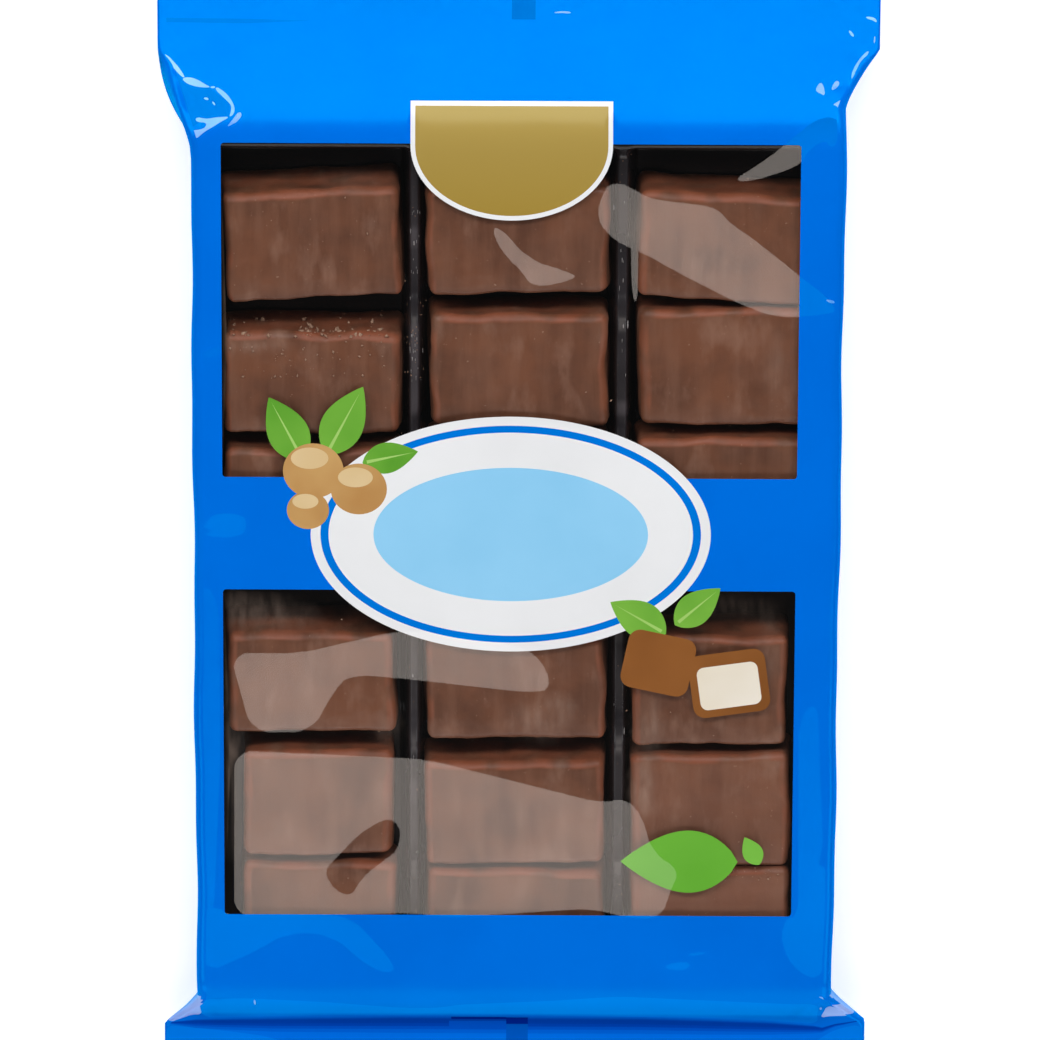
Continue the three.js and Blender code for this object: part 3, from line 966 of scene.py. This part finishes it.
def hex_of(value):
    """A swatch as an sRGB hex code."""
    parts = [12.92 * v if v <= 0.0031308 else 1.055 * v ** (1 / 2.4) - 0.055 for v in value]
    return "#" + "".join(f"{round(255 * p):02x}" for p in parts)


# Pieces


BLUE_GLOSS = "#00c4ff"
# Besides the label's ring and the seam strip, these are painted shade (the darker fold inks) and painted
# highlights (the paler glint, crease and bright inks)
BLUE_PRINTS = (
    "label_ring", "seam_strip", "fold_shade_film", "fold_shadow_faint", "fold_shade", "fold_shadow_line", "fold_shadow_core",
    "fold_shadow_deep", "glint_film", "crease_highlight_film", "bright_film",
)
GOLD_GLOSS = "#bdbb98"
GOLD_FADE = (57.0, 80.0)
# Each ink's two shades, for the print and for the painted shade and painted highlights. Without a first one,
# it is chosen in the film's settings
PRINT_COLOURS = {
    # Painted shade on the folded ear and the strip at the head's fin
    "fold_shade_film": ("#0060cc", "#0065d2"),
    # Painted shadow in the fold at the foot, darker band by band
    "fold_shadow_faint": ("#005ed2", "#0061d6"),
    "fold_shade": ("#0050c4", "#0053c8"),
    "fold_shadow_line": ("#0041b2", "#0044b6"),
    "fold_shadow_core": ("#003da8", "#003fac"),
    # Painted highlights in a lighter blue
    "blue_highlight_film": ("#4a97f2", "#66a9f6"),
    # Painted light on the tight film at the foot
    "bright_film": ("#0077e6", "#007ceb"),
    # The darkest painted shadow, beside the foot's seam
    "fold_shadow_deep": ("#001f88", "#00248c"),
    # Painted highlights at the creases, pale lilac at the foot and pale blue at the head
    "crease_highlight_film": ("#8aa6ee", "#a5bcf6"),
    "glint_film": ("#7fb2f4", "#a2cbfa"),
    "tab_gold": (None, "#ac9450"),
    "label_ring": ("#0079e0", "#0074d8"),
    "label_panel": (None, "#8ccdf4"),
    "sprig_leaves": ("#5da032", "#7cb845"),
    "leaf_ribs": ("#a9d376", "#9cc967"),
    "nut_shells": ("#b98a52", "#cfa76c"),
    "nut_crowns": ("#e0c79a", "#d8ba88"),
    "block_coats": ("#7d4c24", "#8f5a2d"),
    "block_filling": ("#efe8dc", "#e6dcc8"),
    "badge": ("#63ad35", "#6fb83e"),
    "badge_leaf": ("#7cc04a", "#74ba44"),
    "seam_strip": ("#0054bc", "#0058c0"),
}


def build_film(settings):
    """The web of film: the printed front, the windows, the printed shapes with the painted shades and
    highlights, and the wrap round the back.
    """
    verts, triangles, names, shares = front_panel()
    heights = front_height(verts[:, 0], verts[:, 1])
    shades = (hex_of(settings.blue), hex_of(settings.blue_light))
    white = printed_film("white printed polypropylene film", hex_of(settings.white), "#e9ebee")
    clear = clear_film("clear polypropylene film")
    materials = {
        "film_printed": printed_film("blue printed polypropylene film", *shades, gloss=BLUE_GLOSS),
        "tab_border": white,
        "label_plate": white,
        "film_window_head": clear,
        "film_window_foot": clear,
    }
    chosen = {"tab_gold": hex_of(settings.gold), "label_panel": hex_of(settings.sky)}
    for name, (deep, light) in PRINT_COLOURS.items():
        look = {"gloss": BLUE_GLOSS} if name in BLUE_PRINTS else {}
        look = {"gloss": GOLD_GLOSS, "fade": GOLD_FADE} if name == "tab_gold" else look
        title = f"{name.replace('_', ' ')} ink on film"
        materials[name] = printed_film(title, chosen.get(name, deep), light, **look)
    for name in dict.fromkeys(names):
        picked = [i for i, area in enumerate(names) if area == name]
        used = sorted({v for i in picked for v in triangles[i]})
        index = {v: k for k, v in enumerate(used)}
        points = [(verts[v][0], verts[v][1], heights[v]) for v in used]
        faces = [[index[v] for v in triangles[i]] for i in picked]
        corners = np.array([v for i in picked for v in triangles[i]])
        share = np.repeat([shares[i] for i in picked], 3)
        normals = front_normals(verts[corners, 0], verts[corners, 1], share)
        if name == "film_printed":
            points, faces, normals = with_wrap(points, faces, normals)
        obj = new_object(name, points, faces, materials[name], normals)
        if name.startswith("film_window"):
            store(obj, "smear", smear_at(points))
        if name == "film_printed":
            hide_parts("pack")
            # Paints highlights on the foot's ears with the pale lilac crease ink
            paint_ear_highlights(obj, materials["crease_highlight_film"])


def smear_at(points):
    """How much chocolate has rubbed off on the film at each point."""
    places = np.array(points)
    total = np.zeros(len(points))
    for x, y, half_x, half_y, amount in SMEARS:
        total += amount * np.exp(-((places[:, 0] - x) / half_x) ** 2 - ((places[:, 1] - y) / half_y) ** 2)
    return np.maximum(total - SMEAR_END, 0.0)


def paint_ear_highlights(obj, crease_highlight):
    """The upper sides of the ears at the foot get a painted highlight: the pale lilac crease ink."""
    obj.data.materials.append(crease_highlight)
    for face in obj.data.polygons:
        x, y, z = face.center / MM
        if len(face.vertices) < 4 or z < FIN_LEVEL:
            continue
        for side, low, high, inner, run in EAR_HIGHLIGHTS:
            if low < y < high and side * x > inner + run * (high - y):
                face.material_index = 1


def with_wrap(points, faces, normals):
    """Adds the edges, the walls and the back to the front's blue part, joined along the front's edges."""
    places = stations()
    rows = [wrap_section(y) for y in places]
    known = {(round(x, 3), round(y, 3)): k for k, (x, y, _) in enumerate(points)}
    grid = []
    for y, row in zip(places, rows):
        line = []
        for k, (x, z) in enumerate(row):
            shared = known.get((round(x, 3), round(y, 3))) if k in (0, len(row) - 1) else None
            if shared is None:
                shared = len(points)
                points.append((x, y, z))
            line.append(shared)
        grid.append(line)
    first_new = len(faces)
    for a, b in zip(grid, grid[1:]):
        for k in range(len(a) - 1):
            faces.append([a[k], a[k + 1], b[k + 1], b[k]])
    co = np.array(points)
    sums = np.zeros_like(co)
    for face in faces[first_new:]:
        p = co[face]
        n = np.cross(p[2] - p[0], p[3] - p[1])
        for v in face:
            sums[v] += n
    lengths = np.maximum(np.linalg.norm(sums, axis=1), 1e-9)
    smooth = sums / lengths[:, None]
    extra = [smooth[v] for face in faces[first_new:] for v in face]
    return points, faces, np.vstack([normals, np.array(extra)])


def sheet_faces(wide, tall, downward=False):
    """Faces for two layers of a grid, the upper one first, with a rim all round.
    Downward is for a grid whose rows run to the foot."""
    size = wide * tall
    faces = []
    for row in range(tall - 1):
        for i in range(wide - 1):
            a = row * wide + i
            faces.append([a, a + 1, a + wide + 1, a + wide])
            faces.append([size + a + wide, size + a + wide + 1, size + a + 1, size + a])
    rim = list(range(wide))
    rim += [row * wide + wide - 1 for row in range(1, tall)]
    rim += [(tall - 1) * wide + i for i in range(wide - 2, -1, -1)]
    rim += [row * wide for row in range(tall - 2, 0, -1)]
    faces += [[b, a, a + size, b + size] for a, b in zip(rim, rim[1:] + rim[:1])]
    return [face[::-1] for face in faces] if downward else faces


def build_end_seals(settings):
    """The crimped bands at both ends, with ridges along the pack and a zigzag cut."""
    shades = (hex_of(settings.blue), hex_of(settings.blue_light))
    blue = printed_film("blue crimped polypropylene film", *shades, 0.25, BLUE_GLOSS)
    strip = bpy.data.materials["seam strip ink on film"]
    places = 6 * CRIMP_COUNT
    rows = 10
    for end, name, left, right in ((1, "end_seal_head", -1.3, 3.05), (-1, "end_seal_foot", -2.2, 2.0)):
        verts = []
        for layer in (1, -1):
            for row in range(rows + 1):
                for i in range(places + 1):
                    tooth = abs((i / 3) % 2 - 1) * TOOTH_DEPTH
                    y = mix(FILM_END, FIN_END - tooth, row / rows)
                    fade = float(clamp01((y - FILM_END) / CRIMP_FADE))
                    wave = CRIMP_DEPTH / 2 * math.cos(math.pi / 3 * i) * fade
                    level = FIN_LEVEL + layer * FIN_THICKNESS / 2
                    verts.append((FIN_WIDTH * (i / places - 0.5), end * y, level + wave))
        obj = new_object(name, verts, sheet_faces(places + 1, rows + 1, end < 0), blue)
        obj.data.materials.append(strip)
        for face in obj.data.polygons:
            face.use_smooth = abs(face.normal.z) > 0.3
            if face.normal.z > 0.3 and left * MM < face.center.x < right * MM:
                face.material_index = 1


def smooth_step(t):
    t = min(max(t, 0.0), 1.0)
    return t * t * (3 - 2 * t)


def ramp_profile(value, spans, draft):
    """1 inside any of the spans, 0 outside, with drafted walls this wide."""
    best = 0.0
    for low, high in spans:
        inside = min(value - low, high - value)
        best = max(best, smooth_step(inside / draft + 0.5))
    return best


def crowded(breaks, fine, coarse):
    """Grid places between the ends of a list of breaks, closer together near each break."""
    places = []
    value = breaks[0]
    while value < breaks[-1]:
        places.append(value)
        near = min(abs(value - b) for b in breaks)
        value += fine if near < 2.6 else coarse
    return places + [breaks[-1]]


def crest_sheen_share(x, y):
    """How much painted sheen a rib's crest takes: most at a few short flats, and more on the left rib than on
    the right.
    """
    base = 0.45 if x < 0 else 0.3
    return max([base] + [1.0 for side, low, high in SHEEN_FLATS if side * x > 0 and low < y < high])


def build_tray(settings):
    """The formed sheet: two troughs in each column, ribs between the columns and a rim all round."""
    deck = settings.deck / MM
    left, right, foot, head = TRAY_EDGES
    xs = crowded([left] + [v for span in COLUMNS for v in span] + [right], 0.3, 1.6)
    ys = crowded([foot] + [v for span in TROUGHS for v in span] + [head], 0.3, 1.2)
    verts = []
    crest_sheens = []
    for layer in (0, 1):
        for y in ys:
            in_trough = ramp_profile(y, TROUGHS, TROUGH_DRAFT)
            dips = sum(DIP_DEPTH * math.exp(-((y - place) / DIP_LENGTH) ** 2) for place in RIB_DIPS)
            for x in xs:
                column = ramp_profile(x, COLUMNS, COLUMN_DRAFT)
                rib = abs(x) < RIB_REACH
                low = mix(RIB_CREST + dips if rib else deck, TRAY_FLOOR, column)
                verts.append((x, y, mix(deck, low, in_trough) - TRAY_SHEET * layer))
                # Painted sheen on the ribs' crests
                crest_sheens.append(crest_sheen_share(x, y) * (1 - column) ** 2 * in_trough if rib else 0.0)
    plastic = tray_plastic("thermoformed black polystyrene", hex_of(settings.black))
    tray = new_object("tray", verts, sheet_faces(len(xs), len(ys)), plastic)
    store(tray, "painted_crest_sheen", crest_sheens)
    build_rib_glints()


def build_rib_glints():
    """Pale slivers on the ribs: painted glints beside the gaps between the rows of pieces, and more at
    random, partly scratches and partly painted glints.
    """
    verts = []
    faces = []
    rng = random.Random(5)
    glints = list(RIB_GLINTS)
    # More slivers at random along both ribs: pale scratches that also stand for small glints
    for centre, count in ((-19.0, 44), (19.3, 14)):
        for _ in range(count):
            y = rng.choice([rng.uniform(-70, 68), rng.uniform(24, 62)])
            glints.append((centre + rng.gauss(0, 0.55), y, rng.uniform(0.06, 0.14), rng.uniform(0.2, 0.9)))
    low = RIB_CREST + 0.1
    for x, y, wide, long in glints:
        sides = [(3, 2, 1, 0), (0, 1, 4), (1, 2, 5, 4), (2, 3, 5), (3, 0, 4, 5)]
        faces += [[len(verts) + k for k in side] for side in sides]
        verts += [(px, py, low) for px, py in box(x - wide / 2, x + wide / 2, y - long / 2, y + long / 2)]
        verts += [(x, y - 0.35 * long, low + GLINT_HEIGHT), (x, y + 0.35 * long, low + GLINT_HEIGHT)]
    new_object("rib_glints", verts, faces, glint_plastic("pale glint polystyrene"))


def even_with_ends(count, ends):
    """Places from -1 to 1, with more of them near both ends."""
    return [mix(t, math.sin(math.pi / 2 * t), ends) for t in (2 * i / count - 1 for i in range(count + 1))]


def nougat_points(half, rows):
    """A box's surface as points on its six faces, the same grid along shared edges."""
    grids = [even_with_ends(n, 0.75) for n in rows]
    verts = {}
    faces = []
    for axis, first, second, flip in ((2, 0, 1, True), (1, 0, 2, False), (0, 1, 2, True)):
        for level, turn in ((0, flip), (rows[axis], not flip)):
            for u, v in np.ndindex(rows[first], rows[second]):
                quad = []
                for du, dv in ((0, 0), (1, 0), (1, 1), (0, 1)):
                    place = {axis: level, first: u + du, second: v + dv}
                    quad.append(verts.setdefault((place[0], place[1], place[2]), len(verts)))
                faces.append(quad[::-1] if turn else quad)
    points = [[grids[n][place[n]] * half[n] for n in range(3)] for place in verts]
    return np.array(points), faces


def round_edges(points, half):
    """The box's points with its edges rounded off, and how much painted highlight each point's coat takes:
    most along the edges that face the head's lamps.
    """
    inner = np.clip(points, PIECE_RADIUS - half, half - PIECE_RADIUS)
    out = points - inner
    size = np.linalg.norm(out, axis=1)[:, None]
    rounded = inner + out / np.maximum(size, 1e-9) * np.minimum(size, PIECE_RADIUS)
    past_x, past_y, past_z = (np.abs(out) > 0.1 * PIECE_RADIUS).T
    to_head = past_y & (out[:, 1] > 0)
    to_top = past_z & (out[:, 2] > 0)
    # Painted highlight: strongest at the edges facing the head, weaker at the sides, none toward the foot
    at_head = 0.85 * (to_head & to_top) + 0.55 * (to_head & ~past_z)
    at_sides = np.maximum(0.5 * (to_top & past_x), 0.4 * (past_x & past_y))
    return rounded, np.maximum(at_head, at_sides)


def build_nougat(settings):
    """Eighteen enrobed blocks, each a little wider at its foot, leaning, and no two quite alike."""
    shades = (hex_of(settings.coat), hex_of(settings.shade), hex_of(settings.rim))
    coat = chocolate("enrobed milk chocolate", *shades)
    rng = random.Random(18)
    # Without a seed of its own, Blender's noise vectors change from run to run
    noise.seed_set(18)
    high = settings.height / MM
    for number, (cx, cy, length, width, turn, lean, pale) in enumerate(PIECES, 1):
        half = np.array([length / 2, width / 2, high / 2])
        points, faces = nougat_points(half, (40, 28, 18))
        rounded, edge = round_edges(points, half)
        seed = Vector((number * 13.7, number * 5.1, number * 2.3))
        drift = [rng.uniform(-0.35, 0.35) for _ in range(4)]
        final = []
        for p in rounded:
            place = Vector(p)
            up = (p[2] + half[2]) / high
            soft = noise.noise_vector(place / 8.0 + seed) * 0.62
            fine = noise.noise_vector(place / 2.4 + seed) * 0.14
            x = p[0] * (1 + 0.045 * (1 - up)) + soft.x + fine.x
            y = p[1] * (1 + 0.05 * (1 - up)) + soft.y + fine.y + lean * (1 - up)
            x += drift[0] * p[1] / half[1] * 0.6
            y += drift[1] * p[0] / half[0] * 0.6
            droop = 0.35 * smooth_step((-p[1] / half[1] - 0.55) / 0.45) * up
            z = p[2] + (soft.z * 0.4 + fine.z * 0.7 - 0.25 - droop + drift[2] * p[0] / half[0] * 0.25) * up
            final.append((x, y, max(z, -half[2]) + half[2] + TRAY_FLOOR + PIECE_GAP))
        plan = turned([(x, y) for x, y, _ in final], (cx, cy), turn)
        placed = [(x, y, point[2]) for (x, y), point in zip(plan, final)]
        obj = new_object(f"nougat_piece_{number:02d}", placed, faces, coat)
        # The painted edge highlight, broken into patches
        highlight_patches = [smooth_step(0.65 + noise.noise(Vector(p) / 3.4 + seed)) for p in rounded]
        store(obj, "edge", [float(e) * patch for e, patch in zip(edge, highlight_patches)])
        store(obj, "pale", [pale] * len(placed))


def crumb(centre, size, rng):
    """One broken crumb: a lumpy eight sided stone, often longer one way."""
    long = rng.uniform(0.7, 1.9)
    spin = math.degrees(rng.uniform(0, math.pi))
    points = []
    for direction in ((1, 0, 0), (-1, 0, 0), (0, 1, 0), (0, -1, 0), (0, 0, 1), (0, 0, -1)):
        x, y, z = (size * rng.uniform(0.6, 1.2) * d + rng.uniform(-0.2, 0.2) * size for d in direction)
        points.append((*turned([(long * x, y)], centre, spin)[0], centre[2] + z))
    faces = [(0, 2, 4), (2, 1, 4), (1, 3, 4), (3, 0, 4), (2, 0, 5), (1, 2, 5), (3, 1, 5), (0, 3, 5)]
    return points, faces


def build_crumbs():
    """Crumbs and dust on the pieces and on the ribs, where the photograph shows them."""
    rng = random.Random(7)
    near, even, pick = rng.gauss, rng.uniform, rng.choice
    spots = []
    for _ in range(130):
        drop = abs(near(0, 4.5))
        spots.append((even(-53, -24), 37.8 + 0.2 * drop, 14.9 - drop, pick([0.09, 0.16, 0.3, 0.5])))
    spots += [(even(-53, -24), even(30, 37), PIECE_TOP, pick([0.07, 0.12, 0.22])) for _ in range(50)]
    spots += [(even(36, 50), near(-64.2, 0.8), PIECE_TOP, pick([0.08, 0.14, 0.26])) for _ in range(34)]
    spots += [(pick(RIB_LINES) + near(0, 0.7), even(-80, 72), RIB_CREST, even(0.04, 0.14)) for _ in range(70)]
    spots += [(RIB_LINES[0] + near(0, 1.0), even(30, 46), RIB_CREST, even(0.04, 0.16)) for _ in range(40)]
    spots += [(even(-52, 50), even(-70, 70), PIECE_TOP, pick([0.05, 0.08, 0.16])) for _ in range(90)]
    verts = []
    faces = []
    for x, y, z, size in spots:
        points, sides = crumb((x, y, z + size * 0.3), size, rng)
        faces += [[k + len(verts) for k in side] for side in sides]
        verts += points
    new_object("crumbs", verts, faces, crumb_chocolate("broken milk chocolate"))


# Stage


CAMERA_TARGET = (0.6, 3.7, 16.2)
CAMERA_TILT = 12.0
CAMERA_DISTANCE = 1200.0
CAMERA_ROLL = 0.25
CAMERA_LENS = 224.7
FLOOR_HALF = 1500.0
FLOOR_LEVEL = -0.05


def softbox(name, place, target, width, height, watts, tint=(1.0, 1.0, 1.0)):
    """A soft lamp of this size in millimetres, which faces a point."""
    data = bpy.data.lights.new(name, "AREA")
    data.color = tint
    data.shape = "RECTANGLE"
    data.size = width * MM
    data.size_y = height * MM
    data.energy = watts
    obj = bpy.data.objects.new(name, data)
    obj.location = Vector(place) * MM
    away = Vector(target) * MM - obj.location
    obj.rotation_euler = away.to_track_quat("-Z", "Y").to_euler()
    bpy.context.scene.collection.objects.link(obj)


def polar(distance, degrees):
    """A place over the pack, at an angle from straight up, to the head if positive."""
    a = math.radians(degrees)
    return (0.0, distance * math.sin(a), distance * math.cos(a))


def build_floor():
    """A wide sheet of white paper just under the pack."""
    steps = 12
    places = [mix(-FLOOR_HALF, FLOOR_HALF, i / steps) for i in range(steps + 1)]
    verts = [(x, y, FLOOR_LEVEL) for y in places for x in places]
    faces = []
    for row in range(steps):
        for i in range(steps):
            a = row * (steps + 1) + i
            faces.append([a, a + 1, a + steps + 2, a + steps + 1])
    mesh = bpy.data.meshes.new("floor")
    mesh.from_pydata([Vector(v) * MM for v in verts], [], faces)
    mesh.materials.append(studio_paper("white studio paper", "#ececec", 0.46))
    floor = bpy.data.objects.new("floor", mesh)
    bpy.context.scene.collection.objects.link(floor)


def build_stage():
    """The paper, the lamps, the dim room round them and the camera."""
    build_floor()
    softbox("lamp_mirror", polar(2400, -33), (0, 0, 10), 1500, 950, 10.0, (1.0, 0.9, 0.83))
    softbox("lamp_slope", polar(900, 41), (0, 60, 10), 1100, 220, 3.9)
    softbox("lamp_head", polar(420, 74), (0, 10, 10), 640, 150, 0.7)
    softbox("lamp_foot", polar(480, -70), (0, -10, 10), 700, 160, 1.1)
    for side, name in ((-1, "lamp_left"), (1, "lamp_right")):
        softbox(f"{name}_head", (side * 430, 400, 520), (0, 0, 10), 300, 300, 0.9)
        softbox(f"{name}_foot", (side * 480, -300, 460), (0, 0, 10), 260, 260, 0.7)
    world = bpy.data.worlds.new("dim studio")
    bpy.context.scene.world = world
    world.use_nodes = True
    room = world.node_tree.nodes["Background"].inputs
    room["Color"].default_value = (0.9, 0.95, 1.0, 1.0)
    room["Strength"].default_value = 0.03
    bpy.context.scene.view_settings.view_transform = "Standard"
    data = bpy.data.cameras.new("camera")
    data.lens = CAMERA_LENS
    data.clip_end = 10.0
    data.dof.use_dof = False
    camera = bpy.data.objects.new("camera", data)
    a = math.radians(CAMERA_TILT)
    offset = Vector((0.0, math.sin(a), math.cos(a))) * CAMERA_DISTANCE
    camera.location = (Vector(CAMERA_TARGET) + offset) * MM
    camera.rotation_euler = (-a, 0.0, 0.0)
    camera.rotation_euler.rotate_axis("Z", math.radians(CAMERA_ROLL))
    bpy.context.scene.collection.objects.link(camera)
    bpy.context.scene.camera = camera


# Operators and panel


class NOUGAT_OT_film(bpy.types.Operator):
    """Builds the printed film with its windows and its printed shapes"""

    bl_idname = "nougat.film"
    bl_label = "Film"

    def execute(self, context):
        build_film(context.scene.film_settings)
        return {"FINISHED"}


class NOUGAT_OT_end_seals(bpy.types.Operator):
    """Builds the crimped bands at both ends of the film"""

    bl_idname = "nougat.end_seals"
    bl_label = "End seals"

    def execute(self, context):
        build_end_seals(context.scene.film_settings)
        return {"FINISHED"}


class NOUGAT_OT_tray(bpy.types.Operator):
    """Builds the black tray under the pieces"""

    bl_idname = "nougat.tray"
    bl_label = "Tray"

    def execute(self, context):
        build_tray(context.scene.tray_settings)
        return {"FINISHED"}


class NOUGAT_OT_pieces(bpy.types.Operator):
    """Builds the chocolate coated pieces"""

    bl_idname = "nougat.pieces"
    bl_label = "Nougat pieces"

    def execute(self, context):
        build_nougat(context.scene.nougat_settings)
        return {"FINISHED"}


class NOUGAT_OT_crumbs(bpy.types.Operator):
    """Builds the crumbs on the pieces and the ribs"""

    bl_idname = "nougat.crumbs"
    bl_label = "Crumbs"

    def execute(self, context):
        build_crumbs()
        return {"FINISHED"}


class NOUGAT_OT_stage(bpy.types.Operator):
    """Builds the paper, the lamps and the camera"""

    bl_idname = "nougat.stage"
    bl_label = "Stage"

    def execute(self, context):
        build_stage()
        return {"FINISHED"}


OPERATORS = [
    NOUGAT_OT_film,
    NOUGAT_OT_end_seals,
    NOUGAT_OT_tray,
    NOUGAT_OT_pieces,
    NOUGAT_OT_crumbs,
    NOUGAT_OT_stage,
]


class NOUGAT_PT_panel(bpy.types.Panel):
    """Lists what the pack is built from"""

    bl_label = "Nougat pack"
    bl_idname = "NOUGAT_PT_panel"
    bl_space_type = "VIEW_3D"
    bl_region_type = "UI"
    bl_category = "Nougat pack"

    def draw(self, context):
        for operator in OPERATORS:
            self.layout.operator(operator.bl_idname)
        for name, group in SETTINGS.items():
            for item in group.__annotations__:
                self.layout.prop(getattr(context.scene, name), item)


SETTINGS = {"film_settings": FilmSettings, "nougat_settings": NougatSettings, "tray_settings": TraySettings}
CLASSES = [*SETTINGS.values(), *OPERATORS, NOUGAT_PT_panel]


def register():
    for cls in CLASSES:
        bpy.utils.register_class(cls)
    for name, group in SETTINGS.items():
        setattr(bpy.types.Scene, name, bpy.props.PointerProperty(type=group))


def unregister():
    for name in SETTINGS:
        delattr(bpy.types.Scene, name)
    for cls in reversed(CLASSES):
        bpy.utils.unregister_class(cls)


def main():
    """Builds everything in order."""
    register()
    bpy.ops.nougat.film()
    bpy.ops.nougat.end_seals()
    bpy.ops.nougat.tray()
    bpy.ops.nougat.pieces()
    bpy.ops.nougat.crumbs()
    bpy.ops.nougat.stage()


if __name__ == "__main__":
    main()
